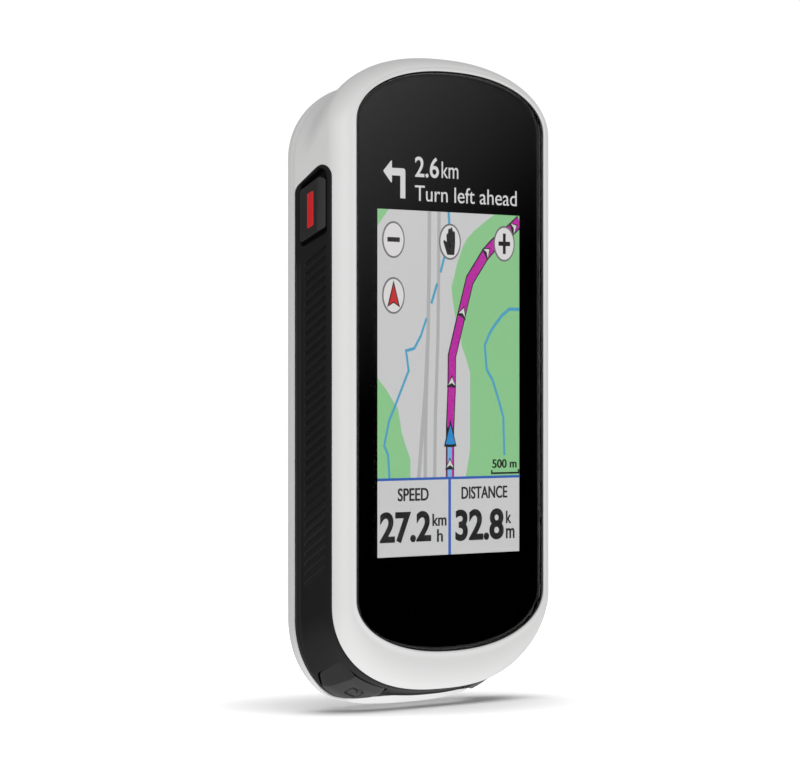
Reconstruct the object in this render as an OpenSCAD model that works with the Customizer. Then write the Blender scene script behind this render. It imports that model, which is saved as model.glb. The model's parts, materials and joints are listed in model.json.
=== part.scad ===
// Handlebar cycling computer. Millimetres, upright: +X to the rider's right, +Z up,
// +Y from the cover glass towards the back. The origin is the centre of the outer
// face of the quarter-turn hub. Inside this file pieces are drawn in the case frame,
// where y = 0 is the front of the cover glass and z = 0 is near mid height, and
// placed() moves them to the origin.

/* [Case] */
// Half width of the case
half_w = 29.2; // [28.8:0.1:29.8]
// Highest point of the domed top
case_top = 53.9; // [53:0.1:55]
// Lowest point of the rear cover
case_bottom = -51.8; // [-53:0.1:-51]
// Depth at which the front housing is fullest
front_d = 3.2; // [3:0.1:3.4]
// Depth of the joint between the two housings
split_y = 9.6; // [9.4:0.1:9.8]
// Depth of the flat back
back_y = 16; // [15.8:0.1:16.4]
// Wall of the rear cover
wall = 1.6; // [1.4:0.1:1.8]

/* [Glass and display] */
// Half width of the cover glass
glass_half_w = 25.6; // [25.2:0.1:25.8]
// Top of the cover glass
glass_top = 51.3; // [51:0.1:51.5]
// Bottom of the cover glass
glass_bottom = -42.8; // [-43.2:0.1:-42.4]
// Thickness of the cover glass
glass_t = 1.1; // [0.9:0.1:1.1]
// Width of the lit picture
picture_w = 39.2; // [38:0.1:40]
// Height of the lit picture
picture_h = 65.3; // [64:0.1:66]
// Height of the picture's middle
picture_z = 5.6; // [5:0.1:6]

/* [Band and buttons] */
// Depth of the band's front edge
band_y = 2.25; // [2.2:0.05:2.4]
// Thickness of the soft band
band_t = 1.6; // [1.5:0.1:1.7]
// Travel of each button
travel = 0.6; // [0.4:0.05:0.6]
// Angle of the corner buttons
corner_tilt = 20.1; // [19:0.1:21]
// Radius of a button stem
stem_r = 1.2; // [1:0.1:1.3]

/* [Quarter-turn hub] */
// Height of the hub's centre
hub_z = 8.9; // [7:0.1:10]
// Radius of the hub's core
hub_r = 12.4; // [12.2:0.1:12.5]
// Radius over the two wings
wing_r = 15.2; // [15:0.1:15.3]
// Angle that each wing spans
wing_angle = 60; // [50:1:62]
// Height of the hub over the flat back
hub_h = 5.4; // [5:0.1:5.6]

/* [Charging port] */
// Height of the port's centre
port_z = -34.2; // [-35:0.1:-33.5]
// Width of the weather cap
cap_w = 15; // [14:0.1:16]
// Height of the weather cap
cap_h = 9.6; // [9:0.1:10]

/* [Hidden] */

$fn = 48;
arc_n = 30;          // steps in each arch of an outline
gap = 0.05;          // gap between pieces that lie against each other
lip = 0.2;           // height of the rim over the glass
hub_y = back_y + hub_h;

// An outline is [half width, top, height of the top arch, bottom, height of the
// bottom arch, roundness of the bottom arch]; each arch is a superellipse.
top_p = 2.2;
front_in = [glass_half_w + 0.6, glass_top + 0.6, 9.5, glass_bottom - 0.6, 9.8, top_p];
front_out = [half_w, case_top, 12.3, case_bottom + 2.3, 15, top_p];
mid_out = [half_w, case_top - 3.8, 13.5, case_bottom + 0.9, 11.2, 2.5];
rear_out = [half_w - 0.2, case_top - 3.9, 13.6, case_bottom, 12.6, 2.4];
glass_out = [glass_half_w, glass_top, 9.2, glass_bottom, 9.2, top_p];
ledge_in = [glass_half_w - 2.1, glass_top - 2.3, 8.5, glass_bottom + 2.3, 8.6, top_p];

function inset(o, d) = [o[0] - d, o[1] - d, o[2] - d, o[3] + d, o[4] - d, o[5]];
function mix(o, q, t) = o * (1 - t) + q * t;
function smooth(t) = t * t * (3 - 2 * t);

function arch(a, h, p) = [
    for (j = [0 : arc_n])
        let (t = 180 * j / arc_n, c = cos(t))
            [a * sign(c) * pow(abs(c), 2 / p), h * sin(t)]];

// Points of an outline in the plane, right side first, over the top to the left
function outline(o) = concat(
    [for (q = arch(o[0], o[2], top_p)) [q[0], o[1] - o[2] + q[1]]],
    [for (q = arch(o[0], o[4], o[5])) [-q[0], o[3] + o[4] - q[1]]]);

function ring(o, y) = [for (q = outline(o)) [q[0], y, q[1]]];

// Outer surface of the front housing and band at depth y
function skin(y) = y < front_d
    ? mix(front_in, front_out, sqrt(1 - pow(1 - y / front_d, 2)))
    : mix(front_out, mid_out, smooth((y - front_d) / (split_y - front_d)));

// Rear cover: a fillet from depth round_y, then a slope up to the flat back
round_y = 10.2;
round_r = 2.7;
round_end = 62;
slope_in = 7.5;
flat_in = 9.5;

module placed() {
    translate([0, -hub_y, -hub_z]) children();
}

// Closed skin over a list of rings; the rings run towards +Y on the outside
module loft(rings, closed = false) {
    n = len(rings[0]);
    m = len(rings);
    sides = [
        for (k = [0 : closed ? m - 1 : m - 2], j = [0 : n - 1])
            let (a = k * n, b = ((k + 1) % m) * n, i = (j + 1) % n)
                each [[a + j, a + i, b + i], [a + j, b + i, b + j]]];
    ends = closed ? [] : [
        [for (j = [n - 1 : -1 : 0]) j],
        [for (j = [0 : n - 1]) (m - 1) * n + j]];
    polyhedron(points = [for (r = rings) each r], faces = concat(sides, ends), convexity = 8);
}

// Plate with an outline o between two depths
module plate(o, y0, y1) {
    translate([0, y1, 0]) rotate([90, 0, 0]) linear_extrude(y1 - y0) polygon(outline(o));
}

// Box from its low and high corners
module block(lo, hi) {
    translate(lo) cube(hi - lo);
}

// Cylinder along +Y between two depths
module y_rod(r, y0, y1, x = 0, z = 0) {
    translate([x, y0, z]) rotate([-90, 0, 0]) cylinder(r = r, h = y1 - y0);
}

// Solid from a profile in (y, z), from x0 to x1
module side_prism(points, x0, x1) {
    translate([x0, 0, 0]) rotate([90, 0, 90]) linear_extrude(x1 - x0) polygon(points);
}

function arc(centre, r, a0, a1, steps = 8) = [
    for (i = [0 : steps])
        let (a = a0 + (a1 - a0) * i / steps)
            centre + r * [cos(a), sin(a)]];

// ---- band channel ----------------------------------------------------------------

channel_depths = [band_y, front_d, 4.8, 6.4, 8, split_y];
end_slope = 53.4;    // direction of the normal of the band's slanted end
end_front = [4.15, 33.4];
end_rear = [7.62, 30.7];

// Everything below the slanted, rounded ends of the band
module band_zone(lower = 0) {
    side_prism(concat(
        [[-5, -80], [-5, end_front[1] - lower]],
        arc(end_front - [0, lower], 1.9, 180, end_slope),
        arc(end_rear - [0, lower], 2, end_slope, 0),
        [[20, end_rear[1] - lower], [20, -80]]), -half_w - 8, half_w + 8);
}

module channel_cut() {
    intersection() {
        loft(concat(
            [for (y = channel_depths) ring(inset(skin(y), -3), y == split_y ? y + 1 : y)],
            [for (i = [len(channel_depths) - 1 : -1 : 0])
                let (y = channel_depths[i])
                    ring(inset(skin(y), band_t), y == split_y ? y + 1 : y)]), closed = true);
        band_zone();
    }
}

// ---- places of the three buttons ---------------------------------------------------

power_at = [-half_w, 6.1, 28.1];
corner_at = [-18.2, 6.4, -47.6];

// Local +z is the way the button is pressed, and z = 0 is the band's surface
module at_power() {
    translate(power_at) rotate([0, 90, 0]) children();
}

module at_lap() {
    translate(corner_at) rotate([0, corner_tilt, 0]) children();
}

module at_start() {
    mirror([1, 0, 0]) at_lap() children();
}

cap_back = 0.95;             // depth of a button's back under the band's surface
wall_out = band_t;           // housing wall behind the band, from the surface
wall_in = band_t + 1.2;
stem_end = wall_in + 0.9;
seal_r = 2;
switch_front = stem_end + travel;
switch_back = switch_front + 2.5;
plunger_r = 0.6;
plunger_in = 0.6;            // plunger inside the switch at rest

corner_back = 0.8;           // the same for a corner button
corner_seat = 1.1;           // plane where a corner button's boss meets its stem
corner_drop = 0.35;          // a corner seal lies this much deeper

module stem_bore(drop = 0) {
    translate([0, 0, -1]) cylinder(r = stem_r + gap, h = wall_in + 3);
    translate([0, 0, -1]) cylinder(r = seal_r + gap, h = wall_out + drop + 0.9 + 1);
}

module stem(seat = cap_back) {
    translate([0, 0, seat + gap / 5]) cylinder(r = stem_r, h = stem_end - seat - gap / 5);
}

module seal(drop = 0) {
    translate([0, 0, wall_out + drop + gap]) difference() {
        cylinder(r = seal_r, h = 0.9 - 2 * gap);
        translate([0, 0, -1]) cylinder(r = stem_r + gap, h = 3);
    }
}

module plunger() {
    translate([0, 0, stem_end + gap / 5])
        cylinder(r = plunger_r, h = travel + plunger_in - gap / 5);
}

module switch_body(y_mid) {
    difference() {
        translate([-2, 5.1 - y_mid, switch_front]) cube([4, 7.55 - 5.1, switch_back - switch_front]);
        translate([0, 0, switch_front - 1]) cylinder(r = plunger_r + gap, h = 1 + plunger_in + travel + 0.4);
    }
}

// Outline of the power key in (y, z), and of the pocket round it
key_shape = [[8.2, 22.9], [8.2, 31.2], [4.3, 33.4], [3.4, 33], [3.4, 25.4]];
pocket_shape = [[8.45, 22.2], [8.45, 31.9], [4.5, 34.2], [3.6, 33.9], [3.15, 33], [3.15, 24.6]];
key_face = 0.45;     // the key stands this far out of the band
key_bevel_y = 4.7;   // the front bevel starts here

corner_len = 13.6;
corner_depth = 4.5;
corner_face = 0.3;
corner_gap = 0.3;

module corner_box(grow) {
    l = corner_len + 2 * grow;
    d = corner_depth + 2 * grow;
    r = 0.8;
    translate([0, 0, -4]) linear_extrude(8) union() {
        square([l - 2 * r, d], center = true);
        square([l, d - 2 * r], center = true);
        for (x = [-1, 1], y = [-1, 1])
            translate([x * (l / 2 - r), y * (d / 2 - r)]) circle(r, $fn = 24);
    }
}

// Slab that follows the band's surface, from out above it to back below it
module surface_slab(out, back) {
    depths = [band_y + 0.5, 4.4, 6.4, 8.4, split_y];
    loft(concat(
        [for (y = depths) ring(inset(skin(y), -out), y)],
        [for (i = [len(depths) - 1 : -1 : 0]) ring(inset(skin(depths[i]), back), depths[i])]),
        closed = true);
}

module corner_key() {
    intersection() {
        union() {
            intersection() {
                surface_slab(corner_face, corner_back);
                at_lap() corner_box(0);
            }
            intersection() {
                surface_slab(0, 3);
                at_lap() translate([0, 0, -4]) cylinder(r = 1.6, h = 8);
            }
        }
        at_lap() translate([-20, -20, -10]) cube([40, 40, 10 + corner_seat]);
    }
}

// ---- housings ----------------------------------------------------------------------

module front_case() {
    color("whitesmoke") placed() difference() {
        loft(concat(
            [ring(inset(front_in, 0.25), -lip), ring(inset(front_in, 0.05), -lip / 2)],
            [for (y = [0.1, 0.4, 0.9, 1.5, band_y, front_d, 4.8, 6.4, 8, split_y]) ring(skin(y), y)],
            [ring(inset(skin(split_y), wall_in), split_y),
             ring(inset(skin(6.4), wall_in), 6.4),
             ring(inset(skin(3.4), wall_in), 3.4),
             ring(ledge_in, 2.7),
             ring(ledge_in, glass_t + 0.25),
             ring(inset(glass_out, -0.08), glass_t + 0.25),
             ring(inset(glass_out, -0.08), -lip / 2)]), closed = true);
        channel_cut();
        at_power() stem_bore();
        at_lap() stem_bore(corner_drop);
        at_start() stem_bore(corner_drop);
        for (p = chassis_points) y_rod(0.5, 1.6, 5, p[0], p[1]);
    }
}

rear_face = split_y + gap / 2;
seal_in = [1.85, 2.55];      // groove of the case seal, from the outer surface
seal_depth = 0.7;

module rear_case() {
    fillet = [for (a = [0 : round_end / 5 : round_end + 0.1])
        ring(inset(rear_out, round_r * (1 - cos(a))), round_y + round_r * sin(a))];
    color("whitesmoke") placed() difference() {
        loft(concat(
            [ring(inset(rear_out, flat_in + 0.4), back_y - wall),
             ring(inset(rear_out, slope_in + 0.4), back_y - wall - 0.3),
             ring(inset(rear_out, 3.2), 11.8),
             ring(inset(rear_out, wall_in), 10.8),
             ring(inset(mid_out, wall_in), rear_face),
             ring(inset(mid_out, seal_in[1]), rear_face),
             ring(inset(mid_out, seal_in[1]), rear_face + seal_depth),
             ring(inset(mid_out, seal_in[0]), rear_face + seal_depth),
             ring(inset(mid_out, seal_in[0]), rear_face),
             ring(mid_out, rear_face)],
            fillet,
            [ring(inset(rear_out, slope_in), back_y - 0.4),
             ring(inset(rear_out, (slope_in + flat_in) / 2), back_y - 0.1),
             ring(inset(rear_out, flat_in), back_y)]));
        cap_recess();
        block([-4.8, back_y - 3, port_z - 1.95], [4.8, back_y + 1, port_z + 1.95]);
        block([-1, back_y - 3, hinge_z - 1.65], [1, back_y, hinge_z - 0.75]);
        block([-4, back_y - 3, hub_z - 7.2], [4, back_y + 1, hub_z - 5.6]);
        for (p = screw_points) y_rod(0.7, back_y - 3, back_y + 1, p[0], p[1]);
        y_rod(0.6, back_y - 3, back_y + 1, vent_at[0], vent_at[1]);
    }
}

module side_band() {
    depths = [band_y + gap, front_d, 4.8, 6.4, 8, split_y - gap / 2];
    color("#262626") placed() difference() {
        intersection() {
            loft(concat(
                [for (y = depths) ring(skin(y), y)],
                [for (i = [len(depths) - 1 : -1 : 0])
                    ring(inset(skin(depths[i]), band_t - gap), depths[i])]), closed = true);
            band_zone(gap);
        }
        side_prism(pocket_shape, -half_w - 3, -half_w + 5);
        at_lap() corner_box(corner_gap);
        mirror([1, 0, 0]) at_lap() corner_box(corner_gap);
    }
}

module case_seal() {
    lo = seal_in[0] + gap;
    hi = seal_in[1] - gap;
    y0 = rear_face;
    y1 = rear_face + seal_depth - gap;
    color("dimgray") placed() loft([
        ring(inset(mid_out, lo), y0), ring(inset(mid_out, lo), y1),
        ring(inset(mid_out, hi), y1), ring(inset(mid_out, hi), y0)], closed = true);
}

// ---- glass and display stack ---------------------------------------------------------

module cover_glass() {
    color("#101010") placed() plate(glass_out, 0, glass_t);
}

module glass_adhesive() {
    color("black") placed() difference() {
        plate(inset(glass_out, 0.3), glass_t + 0.02, glass_t + 0.23);
        plate(inset(ledge_in, -0.2), glass_t - 1, glass_t + 1);
    }
}

// Box centred on the picture, larger than it by grow on every side and drop below
module picture_box(grow, drop, y0, y1) {
    block([-picture_w / 2 - grow, y0, picture_z - picture_h / 2 - grow - drop],
          [picture_w / 2 + grow, y1, picture_z + picture_h / 2 + grow]);
}

module touch_sensor() {
    color("lightsteelblue") placed() picture_box(2.4, 2, glass_t + 0.02, 1.4);
}

module display_panel() {
    color("darkslategray") placed() picture_box(1.8, 2.4, 1.45, 2.75);
}

module backlight() {
    color("white") placed() picture_box(1.6, 1.4, 2.8, 3.55);
}

module display_foam() {
    color("dimgray") placed() difference() {
        picture_box(1.6, 1.4, 3.58, 3.95);
        picture_box(0, 0, 3, 5);
    }
}

// Flat flex: a path in (y, z), given as a closed strip, from x0 to x1
module flex(points, x0, x1) {
    side_prism(points, x0, x1);
}

flex_t = 0.15;

module display_flex() {
    z0 = picture_z - picture_h / 2 - 4.2;
    color("peru") placed() flex([
        [1.9, z0 - gap], [1.9, z0 - 2], [7, z0 - 2], [7, z0 + 6], [7 - flex_t, z0 + 6],
        [7 - flex_t, z0 - 2 + flex_t], [1.9 + flex_t, z0 - 2 + flex_t], [1.9 + flex_t, z0 - gap]],
        -8, 4);
}

module touch_flex() {
    z0 = picture_z - picture_h / 2 - 4.4;
    color("peru") placed() flex([
        [1.15, z0 - gap], [1.15, z0 - 2.4], [6.6, z0 - 2.4], [6.6, z0 + 6], [6.6 - flex_t, z0 + 6],
        [6.6 - flex_t, z0 - 2.4 + flex_t], [1.15 + flex_t, z0 - 2.4 + flex_t],
        [1.15 + flex_t, z0 - gap]], 6, 12);
}

chassis_points = [for (x = [-24.7, 24.7], z = [-18, 20]) [x, z]];
board_points = [for (x = [-21.5, 21.5], z = [-30, 36]) [x, z]];
board_y = 7.6;
board_t = 0.8;

module chassis() {
    color("silver") placed() difference() {
        union() {
            plate(inset(skin(4.4), wall_in + 0.6), 4, 4.8);
            for (p = board_points) y_rod(1.8, 4.4, board_y - gap / 5, p[0], p[1]);
        }
        block([-9, 3, picture_z - picture_h / 2 - 8], [13, 6, picture_z - picture_h / 2 - 5.4]);
        for (p = board_points) y_rod(0.55, 3, 9, p[0], p[1]);
        for (p = chassis_points) y_rod(0.6, 3, 6, p[0], p[1]);
    }
}

// Pan-head screw: its head sits on depth y, and its thread runs d mm along -Y
module screw(p, y, head_r, head_h, thread_r, d) {
    y_rod(head_r, y, y + head_h, p[0], p[1]);
    y_rod(thread_r, y - d, y + head_h / 2, p[0], p[1]);
}

module chassis_screws() {
    color("dimgray") placed() for (p = chassis_points) screw(p, 4.82, 1, 0.5, 0.45, 2.6);
}

module board_screws() {
    color("dimgray") placed()
        for (p = board_points) screw(p, board_y + board_t + gap / 5, 1.2, 0.6, 0.5, 3);
}

module main_board() {
    color("darkgreen") placed() difference() {
        plate(inset(skin(8), wall_in + 0.6), board_y, board_y + board_t);
        for (p = board_points) y_rod(0.6, 6, 9, p[0], p[1]);
        for (s = [0, 1]) mirror([s, 0, 0])
            at_lap() translate([0, 0, -3]) cylinder(r = seal_r + 0.3, h = 6.5);
    }
}

module can(lo, hi) {
    t = 0.2;
    difference() {
        block(lo, hi);
        block(lo + [t, t, t], hi + [-t, 1, -t]);
    }
}

module shield_cans() {
    y = board_y - gap / 5;
    color("lightgray") placed() {
        can([-19, 5.2, 2], [1, y, 26]);
        can([5, 5.4, 4], [20, y, 22]);
        can([-14, 5.4, -20], [12, y, -4]);
    }
}

module board_connectors() {
    y = board_y - gap / 5;
    color("beige") placed() {
        block([-9, 7.02, -29], [5, y, -25.4]);
        block([5.6, 6.62, -29], [12.4, y, -25.4]);
        block([12, board_y + board_t + gap / 5, -33], [19, 9.6, -29]);
        block([-3, board_y + board_t + gap / 5, 27.6], [3, 9.2, 30]);
    }
}

module gnss_antenna() {
    color("tan") placed() {
        block([-7.5, board_y + board_t + gap / 5, 31.2], [7.5, 12.2, 44.6]);
        y_rod(0.9, 12, 12.5, 1.5, 38.4);
    }
}

module radio_antenna() {
    color("darkgoldenrod") placed()
        block([10, board_y + board_t + gap / 5, 34], [16, 9.8, 41]);
}

// ---- power ---------------------------------------------------------------------------

battery_front = 9.1;
battery_back = 13.7;

module battery() {
    color("silver") placed() difference() {
        block([-19.5, battery_front, -25], [19.5, battery_back, 26.4]);
        for (x = [-1, 1], z = [-25, 26.4])
            translate([x * 19.5, battery_front - 1, z])
                rotate([-90, 0, 0]) rotate([0, 0, 45]) cube([2, 2, 16], center = true);
    }
}

module battery_foam() {
    color("dimgray") placed()
        block([-16, board_y + board_t + gap / 5, -22], [16, battery_front - gap / 5, 23]);
}

module battery_lead() {
    color("firebrick") placed() union() {
        block([14, 10, -29.4], [17, 10.8, -25 - gap / 5]);
        block([12.6, 9.62, -32.6], [18.4, 10.8, -29.2]);
    }
}

vent_at = [-13.5, -33.4];

module beeper() {
    color("goldenrod") placed()
        y_rod(5, board_y + board_t + gap / 5, 10.4, vent_at[0], vent_at[1]);
}

module beeper_vent() {
    color("white") placed()
        y_rod(2.2, back_y - wall - 0.25, back_y - wall - gap / 5, vent_at[0], vent_at[1]);
}

// ---- charging port -------------------------------------------------------------------

cap_t = 0.85;
hinge_r = 0.5;       // round end of the cap's tongue, on the hinge axis
hinge_y = back_y - hinge_r;
hinge_z = port_z - cap_h / 2 - 1.2;
anchor_z = hinge_z - 1.9;

// Rectangle with round corners in (x, z) between two depths
module pill(w, h, r, y0, y1, z = 0) {
    translate([0, y1, z]) rotate([90, 0, 0]) linear_extrude(y1 - y0) union() {
        square([w - 2 * r, h], center = true);
        square([w, h - 2 * r], center = true);
        for (x = [-1, 1], s = [-1, 1])
            translate([x * (w / 2 - r), s * (h / 2 - r)]) circle(r);
    }
}

module cap_recess() {
    pill(cap_w, cap_h, 1.6, back_y - cap_t - gap, back_y + 1, port_z);
    block([-2.6, back_y - 1.1, anchor_z - 2 * gap], [2.6, back_y + 1, port_z]);
}

// Cylinder along X on the hinge axis
module hinge_rod(r, half) {
    translate([-half, hinge_y, hinge_z]) rotate([0, 90, 0]) cylinder(r = r, h = 2 * half);
}

module usb_cap() {
    color("#303030") placed() {
        pill(cap_w - 0.3, cap_h - 0.3, 1.5, back_y - cap_t, back_y, port_z);
        pill(8.4, 2.9, 1.3, back_y - cap_t - 0.8, back_y - cap_t / 2, port_z);
        block([-2.4, back_y - cap_t, hinge_z], [2.4, back_y, hinge_z + 2]);
        hinge_rod(hinge_r, 2.4);
    }
}

module cap_anchor() {
    color("#303030") placed() {
        difference() {
            block([-2.4, back_y - 1, anchor_z], [2.4, back_y, hinge_z]);
            hinge_rod(hinge_r + gap, 3);
            block([-3, hinge_y, hinge_z - 0.68], [3, back_y + 1, hinge_z + 1]);
        }
        block([-0.9, back_y - wall - 0.3, hinge_z - 1.6], [0.9, back_y - 0.5, hinge_z - 0.8]);
    }
}

module usb_connector() {
    y0 = board_y + board_t + gap / 5;
    color("gainsboro") placed() difference() {
        pill(8.94, 3.26, 1.5, y0, 13.5, port_z);
        difference() {
            pill(8.34, 2.56, 1.2, y0 + 1.2, 14, port_z);
            block([-3.3, y0, port_z - 0.35], [3.3, 13, port_z + 0.35]);
        }
    }
}

module usb_seal() {
    color("dimgray") placed() difference() {
        pill(11.6, 6, 2, 13.2, back_y - wall - gap / 5, port_z);
        pill(9.1, 3.4, 1.6, 12, 13.55, port_z);
        pill(9, 3.7, 1.7, 13.5, 15, port_z);
    }
}

// ---- quarter-turn hub ------------------------------------------------------------------

screw_points = [for (a = [45 : 90 : 315]) [14.5 * cos(a), hub_z + 14.5 * sin(a)]];
pad_count = 5;
pad_pitch = 2.6;

module wing() {
    half = wing_angle / 2;
    intersection() {
        y_rod(wing_r, hub_y - 1.8, hub_y, 0, hub_z);
        translate([0, hub_y + 1, hub_z]) rotate([90, 0, 0]) linear_extrude(4)
            polygon([[0, 0], [20, -20 * tan(half)], [20, 20 * tan(half)]]);
    }
}

module mount_hub() {
    color("#202020") placed() difference() {
        union() {
            y_rod(16.6, back_y + gap / 5, back_y + 1.2, 0, hub_z);
            y_rod(hub_r, back_y + 0.5, hub_y, 0, hub_z);
            wing();
            mirror([1, 0, 0]) wing();
        }
        y_rod(9.2, back_y - 1, hub_y - 1.5, 0, hub_z);
        for (p = screw_points) {
            y_rod(0.8, back_y - 1, back_y + 2, p[0], p[1]);
            y_rod(1.5, back_y + 0.7, back_y + 2, p[0], p[1]);
        }
        pill(15, 4, 1.8, hub_y - 0.3, hub_y + 1, hub_z);
        for (i = [0 : pad_count - 1])
            y_rod(0.9, hub_y - 3, hub_y + 1, (i - (pad_count - 1) / 2) * pad_pitch, hub_z);
    }
}

module mount_screws() {
    color("dimgray") placed()
        for (p = screw_points) screw(p, back_y + 0.72, 1.4, 0.45, 0.6, 2);
}

module power_contacts() {
    color("gold") placed() for (i = [0 : pad_count - 1])
        y_rod(0.85, hub_y - 1.8, hub_y - 0.35, (i - (pad_count - 1) / 2) * pad_pitch, hub_z);
}

module contact_flex() {
    y_pads = hub_y - 1.8 - gap / 5;
    y_wall = back_y - wall - 0.35;
    z_slot = hub_z - 6.4;
    z_board = 28;
    color("peru") placed() union() {
        block([-6.5, y_pads - flex_t, z_slot], [6.5, y_pads, hub_z + 1.4]);
        block([-3.4, y_wall, z_slot], [3.4, y_pads, z_slot + flex_t]);
        block([-3.4, y_wall, z_slot], [3.4, y_wall + flex_t, z_board]);
        block([-2.8, 9.22, z_board - flex_t], [2.8, y_wall + flex_t, z_board]);
    }
}

// ---- buttons -----------------------------------------------------------------------------

module power_button() {
    face = -half_w - key_face;
    back = -half_w + cap_back;
    color("#2e2e2e") placed() difference() {
        intersection() {
            side_prism(key_shape, face - 1, back);
            linear_extrude(100, center = true) polygon([
                [face, key_bevel_y], [face, 9], [back, 9], [back, 3], [face + 0.45, 3],
                [face + 0.45, 3.4]]);
        }
        side_prism(mark_shape(0.02), face - 1, face + 0.4);
    }
}

mark_rear = 6.65;
mark_front = 5.7;
mark_low = 25.2;
mark_high = 30.9;

function mark_shape(grow) = [
    [mark_rear + grow, mark_low - grow], [mark_rear + grow, mark_high - 0.2 + grow],
    [mark_front - grow, mark_high + 0.3 + grow], [mark_front - grow, mark_low + 0.5 - grow]];

module power_mark() {
    face = -half_w - key_face;
    color("crimson") placed() side_prism(mark_shape(0), face - 0.02, face + 0.4 - gap / 5);
}

module power_stem() { color("dimgray") placed() at_power() stem(); }
module power_plunger() { color("white") placed() at_power() plunger(); }
module power_seal() { color("black") placed() at_power() seal(); }
module power_switch() { color("silver") placed() at_power() switch_body(power_at[1]); }

module lap_button() { color("#2a2a2a") placed() corner_key(); }
module lap_stem() { color("dimgray") placed() at_lap() stem(corner_seat); }
module lap_plunger() { color("white") placed() at_lap() plunger(); }
module lap_seal() { color("black") placed() at_lap() seal(corner_drop); }
module lap_switch() { color("silver") placed() at_lap() switch_body(corner_at[1]); }

module start_button() { color("#2a2a2a") placed() mirror([1, 0, 0]) corner_key(); }
module start_stem() { color("dimgray") placed() at_start() stem(corner_seat); }
module start_plunger() { color("white") placed() at_start() plunger(); }
module start_seal() { color("black") placed() at_start() seal(corner_drop); }
module start_switch() { color("silver") placed() at_start() switch_body(corner_at[1]); }

front_case();
rear_case();
side_band();
cover_glass();
glass_adhesive();
touch_sensor();
display_panel();
backlight();
display_foam();
display_flex();
touch_flex();
chassis();
chassis_screws();
main_board();
shield_cans();
board_screws();
board_connectors();
gnss_antenna();
radio_antenna();
usb_connector();
usb_seal();
usb_cap();
cap_anchor();
battery();
battery_foam();
battery_lead();
beeper();
beeper_vent();
case_seal();
mount_hub();
mount_screws();
power_contacts();
contact_flex();
power_button();
power_mark();
power_stem();
power_plunger();
power_seal();
power_switch();
lap_button();
lap_stem();
lap_plunger();
lap_seal();
lap_switch();
start_button();
start_stem();
start_plunger();
start_seal();
start_switch();
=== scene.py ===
"""Looks of a handlebar cycling computer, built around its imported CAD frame.

Pieces are drawn in millimetres in the case frame, as the CAD source draws them: y = 0 is
the front of the cover glass, +Y runs to the back, z = 0 is near mid height, +X is to the
rider's right. metres() moves them to the origin of the row frame, the hub's outer face.
"""

import functools
import json
import math

import bmesh
import bpy
import numpy as np
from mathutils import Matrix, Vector, geometry


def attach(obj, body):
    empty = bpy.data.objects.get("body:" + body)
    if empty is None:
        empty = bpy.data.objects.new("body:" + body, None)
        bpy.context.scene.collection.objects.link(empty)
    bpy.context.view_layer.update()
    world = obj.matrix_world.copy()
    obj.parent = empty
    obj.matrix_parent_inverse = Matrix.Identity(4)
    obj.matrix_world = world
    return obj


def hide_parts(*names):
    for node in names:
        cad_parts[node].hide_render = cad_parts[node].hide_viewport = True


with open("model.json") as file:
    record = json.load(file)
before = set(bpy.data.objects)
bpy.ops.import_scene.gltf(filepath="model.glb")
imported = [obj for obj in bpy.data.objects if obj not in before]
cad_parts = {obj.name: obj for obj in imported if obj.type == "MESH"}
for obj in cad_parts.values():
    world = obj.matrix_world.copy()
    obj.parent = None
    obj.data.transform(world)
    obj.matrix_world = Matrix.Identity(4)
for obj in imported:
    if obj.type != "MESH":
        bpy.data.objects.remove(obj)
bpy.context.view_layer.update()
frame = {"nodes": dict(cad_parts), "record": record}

# ---- measures of the case, in millimetres ------------------------------------------

HALF_W, TOP, BOTTOM = 29.2, 53.9, -51.8
FRONT_D, SPLIT_Y, BACK_Y = 3.2, 9.6, 16.0
GLASS_HALF_W, GLASS_TOP, GLASS_BOTTOM = 25.6, 51.3, -42.8
BAND_Y, BAND_T, WALL_IN = 2.25, 1.6, 2.8
HUB_Z, HUB_H, HUB_R, WING_R = 8.9, 5.4, 12.4, 15.2
HUB_Y = BACK_Y + HUB_H
PORT_Z, CAP_W, CAP_H, CAP_T = -34.2, 15.0, 9.6, 0.85
HINGE_R, TONGUE_DROP = 0.5, 1.9
HINGE_Y, HINGE_Z = BACK_Y - HINGE_R, PORT_Z - CAP_H / 2 - 1.2
VENT_AT = (-13.5, -33.4)
ORIGIN = np.array([0.0, HUB_Y, HUB_Z])

# Outline: half width, top, height of the top arch, bottom, height of the bottom arch,
# roundness of the bottom arch and of the top arch
FRONT_IN = np.array([GLASS_HALF_W + 0.6, GLASS_TOP + 0.6, 9.5, GLASS_BOTTOM - 0.6, 9.8, 2.2, 2.2])
FRONT_OUT = np.array([HALF_W, TOP - 0.3, 12.1, BOTTOM + 2.4, 14.7, 2.5, 2.25])
MID_OUT = np.array([HALF_W, TOP - 4.3, 13.5, BOTTOM + 0.3, 14.6, 3.05, 2.7])
REAR_OUT = np.array([HALF_W - 0.28, TOP - 4.2, 13.25, BOTTOM, 15.1, 3.2, 2.75])
GLASS_OUT = np.array([GLASS_HALF_W, GLASS_TOP, 9.2, GLASS_BOTTOM, 9.2, 2.2, 2.2])
LEDGE_IN = np.array([GLASS_HALF_W - 2.1, GLASS_TOP - 2.3, 8.5, GLASS_BOTTOM + 2.3, 8.6, 2.2, 2.2])
TOP_PART = np.array([0.0, 1.0, 1.0, 0.0, 0.0, 0.0, 1.0])


def metres(points):
    return (np.asarray(points, float) - ORIGIN) * 0.001


def inset(o, d):
    return o + np.array([-d, -d, -d, d, -d, 0.0, 0.0])


def smooth(t):
    t = np.clip(t, 0.0, 1.0)
    return t * t * (3 - 2 * t)


def mix(a, b, t):
    return a * (1 - t) + b * t


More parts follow.
